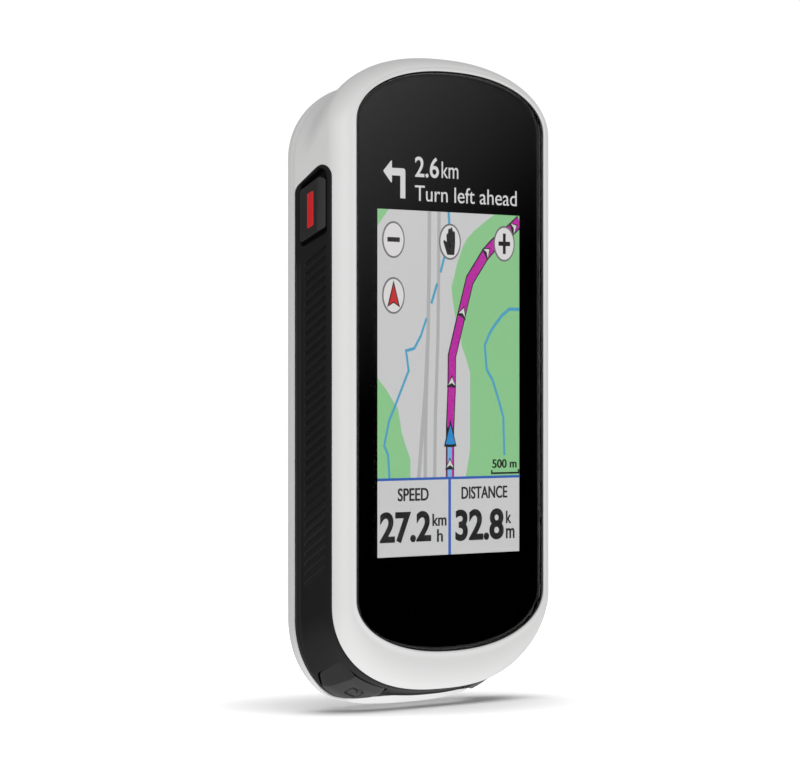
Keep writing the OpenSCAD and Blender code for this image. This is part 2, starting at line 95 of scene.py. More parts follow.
def at_depth(outline, y):
    """Points of an (x, z) outline at depth y."""
    outline = np.asarray(outline, float)
    return np.stack([outline[:, 0], np.full(len(outline), y), outline[:, 1]], 1)


def skin(y):
    """Outline of the outer surface of the front housing and band at depth y."""
    if y < FRONT_D:
        t = math.sqrt(max(0.0, 1 - (1 - max(y, 0.0) / FRONT_D) ** 2))
        return mix(FRONT_IN, FRONT_OUT, t)
    low, top = smooth((y - FRONT_D) / (SPLIT_Y - FRONT_D)), smooth((y - 2.9) / 5.2)
    return mix(FRONT_OUT, MID_OUT, low + (top - low) * TOP_PART)


# ---- outlines ------------------------------------------------------------------------

def quarter(a, h, p, n):
    """Quarter arch from (0, h) to (a, 0) with n cells of equal length."""
    t = np.linspace(0, 1, 900) ** 1.3 * math.pi / 2
    x, z = a * np.sin(t) ** (2 / p), h * np.cos(t)
    s = np.concatenate([[0], np.cumsum(np.hypot(np.diff(x), np.diff(z)))])
    q = np.linspace(0, s[-1], n + 1)
    return np.stack([np.interp(q, s, x), np.interp(q, s, z)], 1)


def left_half(o, z_split, counts):
    """(x, z) from the bottom centre up the left side to the top centre."""
    n_bottom, n_low, n_high, n_top = counts
    low = quarter(o[0], o[4], o[5], n_bottom)
    high = quarter(o[0], o[2], o[6], n_top)[::-1]
    z0, z1 = o[3] + o[4], o[1] - o[2]
    return np.concatenate([
        np.stack([-low[:, 0], z0 - low[:, 1]], 1),
        [[-o[0], z] for z in np.linspace(z0, z_split, n_low + 1)[1:]],
        [[-o[0], z] for z in np.linspace(z_split, z1, n_high + 1)[1:]],
        np.stack([-high[:, 0], z1 + high[:, 1]], 1)[1:]])


RING = (56, 44, 8, 56)
RING_HALF = sum(RING)
RING_N = 2 * RING_HALF


def loop(o, y, z_split=33.4):
    """Closed loop of an outline at depth y, from the bottom centre over the left side."""
    left = left_half(o, z_split, RING)
    return at_depth(np.concatenate([left, (left * [-1, 1])[1:-1][::-1]]), y)


# ---- mesh building ---------------------------------------------------------------------

class Build:
    """Vertices and faces of one mesh, in millimetres."""

    def __init__(self, points=(), faces=()):
        self.points, self.faces, self.count = [], list(faces), 0
        if len(points):
            self.add(points)

    def add(self, points):
        points = np.asarray(points, float).reshape(-1, 3)
        self.points.append(points)
        self.count += len(points)
        return np.arange(self.count - len(points), self.count)

    def strip(self, a, b, closed=False):
        n = len(a)
        for i in range(n if closed else n - 1):
            j = (i + 1) % n
            self.faces.append([int(a[i]), int(a[j]), int(b[j]), int(b[i])])

    def sew(self, index, closed=False):
        """Faces between each row of indices and the next."""
        for a, b in zip(index, index[1:]):
            self.strip(a, b, closed)

    def rows(self, rows):
        """Skin over closed rows of points; returns the rows of indices."""
        index = [self.add(r) for r in rows]
        self.sew(index, True)
        return index

    def cap(self, ring):
        self.faces.append([int(i) for i in ring])

    def all(self):
        return np.concatenate(self.points)


def solid_loft(rows, caps=True):
    """Closed mesh over closed rows of points, with flat ends or joined round."""
    b = Build()
    index = b.rows(rows)
    if caps:
        b.cap(index[0])
        b.cap(index[-1])
    else:
        b.strip(index[-1], index[0], True)
    return b


def weld(points, faces, tol=1e-5):
    """The same mesh with points closer than tol made one."""
    keys, new, remap = {}, [], []
    for p in points:
        k = tuple(np.round(p / tol).astype(int))
        if k not in keys:
            keys[k] = len(new)
            new.append(p)
        remap.append(keys[k])
    merged = [list(dict.fromkeys(remap[i] for i in f)) for f in faces]
    return Build(new, [f for f in merged if len(f) > 2])


def border_loops(faces):
    """Rings of the vertices along the open edges."""
    half = {e for f in faces for e in zip(f, f[1:] + f[:1])}
    after = {a: b for a, b in half if (b, a) not in half}
    loops = []
    while after:
        ring = [next(iter(after))]
        b = after.pop(ring[0])
        while b != ring[0]:
            ring.append(b)
            b = after.pop(b)
        loops.append(ring)
    return loops


def unit(v):
    return v / np.maximum(np.linalg.norm(v, axis=-1, keepdims=True), 1e-12)


def to_bmesh(points, faces):
    """bmesh of points and faces, turned so that neighbours agree."""
    bm = bmesh.new()
    vs = [bm.verts.new(p) for p in points]
    for f in faces:
        bm.faces.new([vs[i] for i in f])
    bmesh.ops.recalc_face_normals(bm, faces=bm.faces[:])
    return bm


def from_bmesh(bm):
    """Build with the points and faces of a bmesh, which is freed."""
    bm.verts.index_update()
    build = Build([v.co[:] for v in bm.verts], [[v.index for v in f.verts] for f in bm.faces])
    bm.free()
    return build


def thicken(points, faces, inner, radius, steps=4):
    """Closed solid between a sheet and its inner points. Each border rolls over with a
    radius, then drops to its inner points. radius is a number or takes a loop's points."""
    points, inner = np.array(points, float), np.asarray(inner, float)
    faces = from_bmesh(to_bmesh(points, faces)).faces
    normal = unit(points - inner)
    centres = {}
    for f in faces:
        c = points[f].mean(0)
        for i in f:
            centres.setdefault(i, []).append(c)
    b = Build(points, faces)
    below = b.add(inner)

    def wall(upper, lower):
        for i in range(len(upper)):
            j = (i + 1) % len(upper)
            b.cap([upper[j], upper[i], lower[i], lower[j]])

    for ring in border_loops(faces):
        here = points[ring].copy()
        d1 = unit(np.roll(here, -1, 0) - here)
        d0 = unit(here - np.roll(here, 1, 0))
        n = normal[ring]
        inside = np.array([np.mean(centres[i], 0) for i in ring]) - here
        side = np.sign((np.cross(d1, n) * inside).sum(1).mean())
        out = -side * unit(np.cross(unit(d0 + d1), n))
        # a mitred corner moves further, at most twice as far
        scale = 1 / np.maximum(0.5, np.abs((out * unit(np.cross(d1, n))).sum(1)))
        r = radius(here) if callable(radius) else radius
        r = np.broadcast_to(np.asarray(r, float), len(ring))[:, None]
        step = out * scale[:, None] * r
        last = ring
        if r.max() > 0:
            points[ring] = here - step
            for a in math.pi / 2 * np.arange(1, steps + 1) / steps:
                row = b.add(here - step + step * math.sin(a) - n * r * (1 - math.cos(a)))
                wall(last, row)
                last = row
        wall(last, below[ring])
    b.points[0] = points
    b.faces += [[int(below[i]) for i in f][::-1] for f in faces]
    return b


def mesh_from(name, build, sharp):
    me = bpy.data.meshes.new(name)
    me.from_pydata([tuple(p) for p in metres(build.all())], [], build.faces)
    bm = bmesh.new()
    bm.from_mesh(me)
    bmesh.ops.recalc_face_normals(bm, faces=bm.faces[:])
    bm.to_mesh(me)
    bm.free()
    me.shade_smooth()
    me.set_sharp_from_angle(angle=math.radians(sharp))
    me.validate()
    return me


def piece(name, build, material, body="computer", replaces=(), sharp=40):
    """Adds an object from a Build, riding on a body."""
    o = bpy.data.objects.new(name, mesh_from(name, build, sharp))
    bpy.context.scene.collection.objects.link(o)
    o.data.materials.append(material)
    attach(o, body)
    if replaces:
        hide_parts(*replaces)
    return o


def join_builds(*builds):
    out = Build()
    for b in builds:
        base = out.count
        out.add(b.all())
        out.faces += [[i + base for i in f] for f in b.faces]
    return out


def mirrored(build):
    return Build(build.all() * [-1, 1, 1], [f[::-1] for f in build.faces])


def bevelled(build, width, segments, angle):
    """Build with its edges sharper than angle rounded."""
    bm = to_bmesh(build.all(), build.faces)
    edges = [e for e in bm.edges
             if len(e.link_faces) == 2 and e.calc_face_angle() > math.radians(angle)]
    bmesh.ops.bevel(bm, geom=edges, offset=width, segments=segments, profile=0.5,
                    affect="EDGES", clamp_overlap=True)
    return from_bmesh(bm)


def prism(outline, y0, y1):
    """Solid from points in (x, z) between two depths."""
    return solid_loft([at_depth(outline, y) for y in (y0, y1)])


def side_solid(outline, x0, x1):
    """Solid from points in (y, z) between two x."""
    ring = np.asarray(outline, float)
    return solid_loft([np.insert(ring, 0, x, axis=1) for x in (x0, x1)])


def rounded(corners, radius, steps=5):
    """Polygon with each corner rounded."""
    pts = np.asarray(corners, float)
    radii = np.broadcast_to(radius, len(pts))
    out = []
    for i, p in enumerate(pts):
        a, b = pts[i - 1] - p, pts[(i + 1) % len(pts)] - p
        la, lb = np.linalg.norm(a), np.linalg.norm(b)
        ua, ub = a / la, b / lb
        half = math.acos(np.clip(ua @ ub, -1, 1)) / 2
        cut = min(radii[i] / math.tan(half), 0.45 * la, 0.45 * lb)
        r = cut * math.tan(half)
        centre = p + unit(ua + ub) * r / math.sin(half)
        start, end = p + ua * cut - centre, p + ub * cut - centre
        a0 = math.atan2(start[1], start[0])
        turn = (math.atan2(end[1], end[0]) - a0 + math.pi) % (2 * math.pi) - math.pi
        for k in range(steps + 1):
            t = a0 + turn * k / steps
            out.append(centre + r * np.array([math.cos(t), math.sin(t)]))
    return np.array(out)


def rectangle(w, h, x=0.0, z=0.0):
    return [(x + i * w / 2, z + k * h / 2) for i, k in ((-1, -1), (1, -1), (1, 1), (-1, 1))]


def circle(r, x=0.0, z=0.0, n=48):
    t = np.linspace(0, 2 * math.pi, n, endpoint=False)
    return np.stack([x + r * np.cos(t), z + r * np.sin(t)], 1)


def lathe(profile, x, z, n=48):
    """Closed solid of revolution about Y from points (radius, depth); ends are flat."""
    return solid_loft([at_depth(circle(r, x, z, n), y) for r, y in profile])


# ---- materials -------------------------------------------------------------------------

def tone(colour, factor):
    return tuple(min(1.0, c * factor) for c in colour) + (1.0,)


class Nodes:
    """Short ways to add nodes to a shader tree; a value is a number, a vector or a socket."""

    def __init__(self, tree):
        self.nodes, self.links = tree.nodes, tree.links

    def put(self, value, socket):
        if isinstance(value, bpy.types.NodeSocket):
            self.links.new(value, socket)
        else:
            socket.default_value = value

    def set(self, node, values):
        for name, value in values.items():
            self.put(value, node.inputs[name])

    def new(self, kind, values, out, **settings):
        """Adds a node with its settings and inputs; returns one of its outputs."""
        node = self.nodes.new("ShaderNode" + kind)
        for name, value in settings.items():
            setattr(node, name, value)
        self.set(node, values)
        return node.outputs[out]

    def where(self, space="Object"):
        return self.new("TexCoord", {}, space)

    def noise(self, vector, scale, detail=2):
        return self.new("TexNoise", {"Vector": vector, "Scale": scale, "Detail": detail}, "Fac")

    def blend(self, factor, a, b):
        return self.new("Mix", {"Factor": factor, "A": a, "B": b}, "Result", data_type="RGBA")

    def math(self, kind, a, b=0.0):
        return self.new("Math", {0: a, 1: b}, "Value", operation=kind)

    def vector(self, kind, a, b, out="Value"):
        return self.new("VectorMath", {0: a, 1: b}, out, operation=kind)

    def ramp(self, value, low, high, out_low, out_high, kind="LINEAR"):
        return self.new("MapRange", {"Value": value, "From Min": low, "From Max": high,
                                     "To Min": out_low, "To Max": out_high}, "Result",
                        interpolation_type=kind)

    def soft(self, *args):
        return self.ramp(*args, kind="SMOOTHSTEP")


def new_material(name):
    m = bpy.data.materials.new(name)
    m.use_nodes = True
    return m, Nodes(m.node_tree), m.node_tree.nodes["Principled BSDF"]


COAT_ROUGH = 0.1


def material(name, colour, rough, spread=0.08, patch=70, rough_spread=0.06, grain=6000,
             bump=0.15, depth=0.00002, metallic=0.0, coat=0.0, specular=0.5, stretch=(1, 1, 1)):
    """Principled material whose colour and roughness drift with a noise, over a fine grain."""
    m, net, shader = new_material(name)
    place = net.new("Mapping", {"Scale": stretch, "Vector": net.where()}, "Vector")
    drift, fine = net.noise(place, patch, 3), net.noise(place, grain)
    net.set(shader, {
        "Metallic": metallic, "Specular IOR Level": specular, "Coat Weight": coat,
        "Coat Roughness": COAT_ROUGH,
        "Base Color": net.blend(drift, tone(colour, 1 - spread), tone(colour, 1 + spread)),
        "Roughness": net.ramp(fine, 0.0, 1.0, max(0.02, rough - rough_spread),
                              min(1.0, rough + rough_spread))})
    if bump:
        net.set(shader, {"Normal": net.new("Bump", {
            "Strength": bump, "Distance": depth, "Height": fine}, "Normal")})
    return m


WHITE = material("white_plastic", (0.80, 0.80, 0.795), 0.38, spread=0.012, patch=45,
                 rough_spread=0.05,
                 grain=5200, bump=0.10, depth=0.00001)
BAND = material("soft_band", (0.0085, 0.0085, 0.0088), 0.52, spread=0.2, patch=420,
                rough_spread=0.07,
                grain=7000, bump=0.25, specular=0.24)
KEY = material("key_black", (0.019, 0.019, 0.0195), 0.42, spread=0.12, patch=260, grain=9000,
               bump=0.18, specular=0.4)
RED = material("red_mark", (0.70, 0.010, 0.016), 0.30, spread=0.06, patch=900, bump=0.05, coat=0.3)


# ---- housings --------------------------------------------------------------------------

SKIN_T, REAR_R = 1.6, 2.0
POCKET_Y = BACK_Y - 0.9             # floor of the weather cap's pocket
# Slanted end of the band: centres (y, z) and radii of its two rounds, and its slope
END_FRONT, END_REAR = (4.15, 33.4), (7.62, 30.7)
END_R1, END_R2, END_SLOPE = 1.9, 2.0, math.radians(53.4)
LIP_H, LIP_OUT = 0.2, 0.53          # raised lip round the glass: height, and width inwards
LIP_MID, LIP_FALL = 0.24, 0.62      # where it starts to fall, and over what width


def z_end(y):
    """Height of the slanted, rounded end of the band at depth y."""
    a = (END_FRONT[0] + END_R1 * math.cos(END_SLOPE), END_FRONT[1] + END_R1 * math.sin(END_SLOPE))
    b = (END_REAR[0] + END_R2 * math.cos(END_SLOPE), END_REAR[1] + END_R2 * math.sin(END_SLOPE))
    if y <= a[0]:
        return END_FRONT[1] + math.sqrt(max(0.0, END_R1 ** 2 - (y - END_FRONT[0]) ** 2))
    if y < b[0]:
        return mix(a[1], b[1], (y - a[0]) / (b[0] - a[0]))
    return END_REAR[1] + math.sqrt(max(0.0, END_R2 ** 2 - (y - END_REAR[0]) ** 2))


# Joint of band and rear cover round the bottom: (distance from the middle, depth)
SEAM = [(0, 5.87), (4, 5.84), (6, 5.74), (8.5, 5.76), (9.6, 5.97), (10.4, 6.2), (11.5, 6.5),
        (12.9, 6.85), (13.95, 7.32), (14.95, 7.75), (15.8, 8.25), (16.4, 9.1), (17.1, 10.1),
        (17.8, 10.6), (18.6, 10.7), (20, 10.5), (24, 9.9), (27, 9.66), (29.4, SPLIT_Y)]


SEAM_Z = -38                        # above this the joint lies at SPLIT_Y
SEWN_Y = 7.6                        # rows behind this depth spread to reach a deeper joint


def seam(x, z):
    """Depth of the joint between band and rear cover; under the keys it runs further back."""
    xs, ys = np.array(SEAM).T
    x = np.abs(x)
    y = sum(w * np.interp(np.abs(x + d), xs, ys)
            for w, d in ((0.25, -0.45), (0.5, 0.0), (0.25, 0.45)))
    return mix(y, SPLIT_Y, smooth((np.asarray(z) - SEAM_Z) / 3))


def sewn(v, x, z):
    """Depth of a band row v at (x, z), moved so that the last row lies on the joint."""
    end = seam(x, z)
    front = ROWS[0]
    wide = v + (end - SPLIT_Y) * smooth((v - SEWN_Y) / (SPLIT_Y - SEWN_Y))
    thin = front + (v - front) * (end - front) / (SPLIT_Y - front)
    return np.where(end > SPLIT_Y, wide, thin)


def front_shell():
    """White front: the lip round the glass, its rounded side, and the domed top."""
    rows, inner = [], []

    def lip_row(d, y):
        rows.append(loop(inset(FRONT_IN, d), y))
        inner.append(loop(inset(FRONT_IN, d), SKIN_T))

    for y in (1.25, 0.6, 0.2, 0.0):
        lip_row(LIP_OUT, y)
    for a in (20, 40, 60, 80):
        lip_row(LIP_OUT - 0.2 * (1 - math.cos(math.radians(a))),
                -LIP_H * math.sin(math.radians(a)))
    for d in (0.3, 0.22, 0.15, 0.08, 0.02):
        lip_row(d, -LIP_H * (1 - smooth((LIP_MID - d) / LIP_FALL)))
    band_phi = math.degrees(math.acos(1 - BAND_Y / FRONT_D))
    for phi in [1.5, 3.0, 4.6, 6.4, 8.6, 11.5, 15, 19, 24, 29, 34, 39, 44, 49, 54, 59, 64, 68.6,
                band_phi]:
        a = math.radians(phi)
        o, y = mix(FRONT_IN, FRONT_OUT, math.sin(a)), FRONT_D * (1 - math.cos(a))
        fall = 1 - smooth((LIP_MID + 3.0 * math.sin(a)) / LIP_FALL)
        rows.append(loop(o, y - LIP_H * fall))
        inner.append(loop(inset(o, SKIN_T * math.sin(a)), y + SKIN_T * math.cos(a)))
    b = Build()
    index = b.rows(rows)
    inner_points = [np.concatenate(inner)]
    # Over the top the skin goes on to the joint; its sides end at the band
    z_low = RING[0] + RING[1]
    keep = np.arange(z_low, RING_N - z_low + 1)
    first, last_round = np.radians((8, 16, 24, 32, 40, 50, 60, 75, 90)), np.radians((40, 28, 16))
    depths = [END_FRONT[0] - END_R1 * math.cos(a) for a in first]
    depths += [4.7, 5.283, 5.9, 6.5, 7.1, 7.7, 8.25, 8.812]
    depths += [END_REAR[0] + END_R2 * math.cos(a) for a in last_round] + [SPLIT_Y]
    last = index[-1][keep]
    for y in depths:
        o = skin(y)
        row = loop(o, y, z_end(y))[keep]
        tilt = math.acos(max(0.0, 1 - y / FRONT_D)) if y < FRONT_D else math.pi / 2
        inner_points.append(loop(inset(o, SKIN_T * math.sin(tilt)), y + SKIN_T * math.cos(tilt),
                                 z_end(y))[keep])
        cur = b.add(row)
        b.strip(last, cur)
        last = cur

    def radius(here):
        if here[:, 1].max() < BAND_Y:
            return 0.0
        r = np.where(here[:, 1] > SPLIT_Y - 0.01, 0.05, 0.14)
        return np.minimum(r, 0.05 + 0.3 * np.maximum(0, SPLIT_Y - here[:, 1]))

    return thicken(b.all(), b.faces, np.concatenate(inner_points), radius)


def inner_frame():
    """The wall behind the band and the ledge that carries the glass."""
    depths = (3.4, 4.8, 6.4, 8, SPLIT_Y - 0.02)
    rows = [loop(inset(skin(y), SKIN_T + 0.02), y) for y in depths]
    rows += [loop(inset(skin(y), WALL_IN), y) for y in depths[::-1]]
    rows += [loop(LEDGE_IN, 2.7), loop(LEDGE_IN, 1.35), loop(inset(FRONT_IN, -0.6), 1.5),
             loop(inset(skin(2.4), 1.7), 2.6)]
    return solid_loft(rows, caps=False)


def rise(y):
    """How far the rear cover has risen from the joint to its own outline, over the top."""
    return smooth((y - 9.55) / 1.25)


def rear_profile():
    """(outline, depth, angle of the normal) down the rear cover, from the joint to the flat."""
    round_y, round_end = 10.2, 62       # where the rounding starts, and its last angle
    out = [(MID_OUT, SPLIT_Y + 0.025, 0.0)]
    for t, y in ((0.45, 9.66), (0.75, 9.74), (0.92, 9.86), (0.99, 10.0)):
        out.append((mix(MID_OUT, REAR_OUT, t + (rise(y) - t) * TOP_PART), y, 0.0))
    for a in np.linspace(0, 58, 15):
        r = math.radians(a)
        y = round_y + REAR_R * math.sin(r)
        o = mix(MID_OUT, REAR_OUT, 1 + (rise(y) - 1) * TOP_PART)
        out.append((inset(o, REAR_R * (1 - math.cos(r))), y, r))
    r = math.radians(round_end)
    d0, y0 = REAR_R * (1 - math.cos(r)), round_y + REAR_R * math.sin(r)
    for t in (0.12, 0.3, 0.5, 0.7, 0.86):
        out.append((inset(REAR_OUT, mix(d0, 7.5, t)), mix(y0, 15.6, t),
                    math.radians(round_end + 2 * t)))
    for t in np.linspace(0.08, 1, 8):
        d = mix(7.1, 9.5, t)
        out.append((inset(REAR_OUT, d), 15.42 + 0.58 * (1 - (1 - t) ** 2),
                    math.radians(64 + 26 * t)))
    return out


def inside(p, poly):
    """Whether a point lies in a polygon."""
    hit = False
    for a, c in zip([poly[-1], *poly[:-1]], poly):
        if (a[1] > p[1]) != (c[1] > p[1]) and \
                p[0] < (c[0] - a[0]) * (p[1] - a[1]) / (c[1] - a[1]) + a[0]:
            hit = not hit
    return hit


def flat_with_holes(b, ring, holes, y, inner_ring=None):
    """Fills a ring of a Build at depth y, leaving new holes and the inner ring open."""
    known = [ring] if inner_ring is None else [ring, inner_ring]
    loops = [b.all()[r][:, [0, 2]] for r in known] + list(holes)
    flat, edges = [], []
    for part in loops:
        base, n = len(flat), len(part)
        flat += [Vector(p) for p in part]
        edges += [(base + i, base + (i + 1) % n) for i in range(n)]
    verts, _, tris, origin, _, _ = geometry.delaunay_2d_cdt(flat, edges, [], 1, 1e-6)
    index = list(np.concatenate(known))
    index += list(b.add([(p[0], y, p[1]) for p in flat[len(index):]]))
    for t in tris:
        c = sum((verts[i] for i in t), Vector((0, 0))) / len(t)
        if inside(c, loops[0]) and not any(inside(c, h) for h in loops[1:]):
            b.faces.append([int(index[origin[i][0]]) for i in t])
    return b


def recess_outline(grow=0.0):
    """Outline of the pocket for the weather cap and its tongue, in (x, z)."""
    w, h = CAP_W / 2 + grow, CAP_H / 2 + grow
    low, slot = HINGE_Z - TONGUE_DROP - 0.1 - grow, 2.6 + grow
    corners = [(-w, PORT_Z - h), (-slot, PORT_Z - h), (-slot, low), (slot, low),
               (slot, PORT_Z - h),
               (w, PORT_Z - h), (w, PORT_Z + h), (-w, PORT_Z + h)]
    return rounded(corners, [1.6, 0.3, 0.3, 0.3, 0.3, 1.6, 1.6, 1.6], 7)


def rear_row(o, y):
    """Loop of the rear cover; rows near the joint follow it, on the skin of the band."""
    row = loop(o, y)
    end = seam(row[:, 0], row[:, 2])
    t = np.clip((12.6 - y) / (12.6 - SPLIT_Y), 0, 1)
    for i in np.nonzero(np.abs(end - SPLIT_Y) > 1e-3)[0]:
        at = y + (end[i] - SPLIT_Y) * t
        if at < SPLIT_Y:
            own = smooth((at - 8.6) / (SPLIT_Y - 8.6)) if y > SPLIT_Y + 0.1 else 0.0
            s = mix(loop(skin(at), at)[i], row[i], own)
            row[i] = [s[0], at, s[2]]
        else:
            row[i][1] = at
    return row


def rear_shell():
    """White rear cover, open for the vent and with the pocket of the weather cap."""
    b = Build()
    profile = rear_profile()
    index = b.rows([rear_row(o, y) for o, y, _ in profile])
    inner = [loop(inset(o, SKIN_T * math.cos(a)), y - SKIN_T * math.sin(a)) for o, y, a in profile]
    inner[0] = loop(inset(MID_OUT, SKIN_T), SPLIT_Y + 0.025)
    for k in range(1, 6):
        inner[k] = loop(inset(REAR_OUT, SKIN_T + 0.1), 9.7 + 0.1 * k)
    for k in range(len(inner)):
        moved = b.all()[index[k]][:, 1] - profile[k][1]
        inner[k][:, 1] += moved
        inner[k][:, 2] += 0.16 * np.maximum(0, -moved)
    inner = [np.concatenate(inner)]
    holes = [recess_outline(), circle(0.6, *VENT_AT, n=28)]
    before = b.count
    flat_with_holes(b, index[-1], holes, BACK_Y)
    inner.append(b.all()[before:] - [0, SKIN_T, 0])

    def radius(here):
        if here[:, 1].min() < SPLIT_Y + 1:
            return 0.05
        return 0.18 if np.ptp(here[:, 0]) > 3 else 0.1

    shell = thicken(b.all(), b.faces, np.concatenate(inner), radius)
    # Floor of the pocket, with the opening of the port
    floor = Build()
    ring = floor.add(at_depth(recess_outline(0.1), POCKET_Y))
    hole = rounded(rectangle(9.6, 3.9, 0, PORT_Z), 1.6, 8)
    flat_with_holes(floor, ring, [hole], POCKET_Y)
    floor = thicken(floor.all(), floor.faces, floor.all() - [0, 0.7, 0],
                    lambda here: 0.15 if np.ptp(here[:, 0]) < 12 else 0.0)
    return join_builds(shell, floor)


# ---- side band -------------------------------------------------------------------------

TILT = math.radians(20.1)
CORNER_AT = np.array([-18.2, 6.4, -47.6])
CORNER_GAP = 0.3
POWER_AT = np.array([-HALF_W, 6.1, 28.1])


@functools.lru_cache(maxsize=None)
def half_at(y):
    """Left half outline of the skin at depth y: length from the bottom centre, x and z."""
    o = skin(y)
    low = quarter(o[0], o[4], o[5], 260)
    z0 = o[3] + o[4]
    x = np.concatenate([-low[:, 0], [-o[0]]])
    z = np.concatenate([z0 - low[:, 1], [45.0]])
    s = np.concatenate([[0], np.cumsum(np.hypot(np.diff(x), np.diff(z)))])
    along = (x - CORNER_AT[0]) * math.cos(TILT) - (z - CORNER_AT[2]) * math.sin(TILT)
    return s, x, z, along


def s_of_z(y, z):
    s, _, zs, _ = half_at(y)
    return float(np.interp(z, zs, s))


def s_of_l(y, l):
    s, _, _, along = half_at(y)
    return float(np.interp(-l, -along, s))


def on_skin(y, s):
    """Points and outward normals of the skin at depth y and lengths s."""
    sd, xd, zd, _ = half_at(round(float(y), 4))
    s = np.asarray(s, float)
    x, z = np.interp(s, sd, xd), np.interp(s, sd, zd)
    e = 0.25
    tx = np.interp(s + e, sd, xd) - np.interp(np.maximum(s - e, 0), sd, xd)
    tz = np.interp(s + e, sd, zd) - np.interp(np.maximum(s - e, 0), sd, zd)
    tz = np.where(s < 1e-6, 0.0, tz)        # the outline is level at the bottom centre
    n = unit(np.stack([-tz, tx], -1))       # turned a quarter, outward on the left half
    s2, x2, z2, _ = half_at(round(float(y) + 0.02, 4))
    ratio = s2[-1] / sd[-1]
    dx, dz = np.interp(s * ratio, s2, x2) - x, np.interp(s * ratio, s2, z2) - z
    slope = (dx * n[..., 0] + dz * n[..., 1]) / 0.02
    normal = unit(np.stack([n[..., 0], -slope, n[..., 1]], -1))
    return np.stack([x, np.full(x.shape, float(y)), z], -1), normal


RIB_PITCH, RIB_TOP, RIB_LOW, RIB_RISE = 1.585, 22.4, -29.95, 2.85 / 4.17
RIB_Y, RIB_DEPTH = (3.4, 7.57), 0.42
BAND_IN = BAND_T - 0.08         # how far the band's back lies under its skin
BEAD_Y, BEAD_H, BEAD_W = 8.82, 0.2, 0.62
ROWS = ([2.3, 2.36, 2.45, 2.6, 2.8, 3.0, 3.15, 3.25, 3.33, 3.41, 3.5, 3.62, 3.9, 4.3, 4.7, 5.1,
         5.5, 5.9, 6.3, 6.7,
         7.0, 7.2, 7.35, 7.45, 7.53, 7.61, 7.7, 7.85, 8.0, 8.12, 8.24, 8.36, 8.5, 8.66, 8.82, 8.98,
         9.12, 9.24, 9.34,
         9.44, 9.575])


def bead(v, fade=1.0):
    t = np.clip(np.abs(v - BEAD_Y) / BEAD_W, 0, 1)
    return BEAD_H * fade * (1 + np.cos(math.pi * t)) / 2


def on_skin_at(y, s):
    """on_skin for a depth and a length of each point."""
    out_p, out_n = [], []
    for yi, si in zip(y, s):
        low = math.floor(yi / 0.05) * 0.05
        t = (yi - low) / 0.05
        p0, n0 = on_skin(round(low, 2), [si])
        p1, n1 = on_skin(round(low + 0.05, 2), [si])
        out_p.append(mix(p0[0], p1[0], t))
        out_n.append(unit(mix(n0[0], n1[0], t)))
    return np.array(out_p), np.array(out_n)


def band_row(v, s):
    """Points and normals of band row v at lengths s, sewn to the joint."""
    p, n = on_skin(v, s)
    y = sewn(v, p[:, 0], p[:, 2])
    moved = np.nonzero(np.abs(y - v) > 1e-4)[0]
    if len(moved):
        q, m = on_skin_at(y[moved], np.asarray(s)[moved])
        p[moved], n[moved] = q, m
    return p, n


def along_loop(points, breaks, counts):
    """Samples of a closed polyline between break indices, with a count for each stretch."""
    out = []
    n = len(points)
    for k, cells in enumerate(counts):
        a, c = breaks[k], breaks[(k + 1) % len(breaks)]
        if c <= a:
            c += n
        part = np.array([points[i % n] for i in range(a, c + 1)])
        s = np.concatenate([[0], np.cumsum(np.linalg.norm(np.diff(part, axis=0), axis=1))])
        q = np.linspace(0, s[-1], cells + 1)[:-1]
        out.append(np.stack([np.interp(q, s, part[:, 0]), np.interp(q, s, part[:, 1])], 1))
    return np.concatenate(out)


def nearest(points, p):
    return int(np.argmin(np.linalg.norm(np.asarray(points) - np.asarray(p), axis=1)))


POCKET = [(8.45, 22.1), (8.45, 31.95), (4.55, 34.7), (3.65, 34.45), (3.15, 33.4), (3.15, 24.6)]
KEY_SHAPE = [(8.2, 22.9), (8.2, 31.2), (4.3, 33.4), (3.4, 33.0), (3.4, 25.4)]
FRAME_Z = 21.65         # where the frame round the power key meets the ribs, at mid depth
CORNER_L = 8.2          # half length of the band's part round a corner key
KEY_CORNERS = [(-6.8, 4.15), (-6.8, 8.1), (-3.8, 9.25), (0.0, 9.3), (6.3, 6.0), (5.9, 4.15)]
KEY_MARKS = [(-6.9, 4.0), (-6.9, 8.3), (6.6, 6.3), (6.2, 3.9)]


def corner_outline(grow=0.0):
    """Outline (along, depth) of a corner key, grown by a gap."""
    centre = np.array([0.0, 6.7])
    pts = []
    corners = np.array(KEY_CORNERS)
    for a, p, c in zip(np.roll(corners, 1, 0), corners, np.roll(corners, -1, 0)):
        m0, m1 = unit(p - a)[::-1] * [-1, 1], unit(c - p)[::-1] * [-1, 1]
        m = unit(m0 + m1)
        m = m * math.copysign(1.0, m @ (p - centre))
        pts.append(p + m * grow / abs(m @ m0))
    return rounded(pts, [0.7, 0.8, 3.0, 3.0, 0.7, 0.7], 10)


def lean(y):
    """How far a slanted groove has dropped at depth y."""
    return -RIB_RISE * (y - 5.5)


GROOVE = [(-0.40, 0.0), (-0.34, 0.16), (-0.27, 0.72), (-0.13, 0.97), (0.0, 1.0), (0.13, 0.97),
          (0.27, 0.72), (0.34, 0.16), (0.40, 0.0), (0.6, 0.0)]      # (offset, share of the depth)


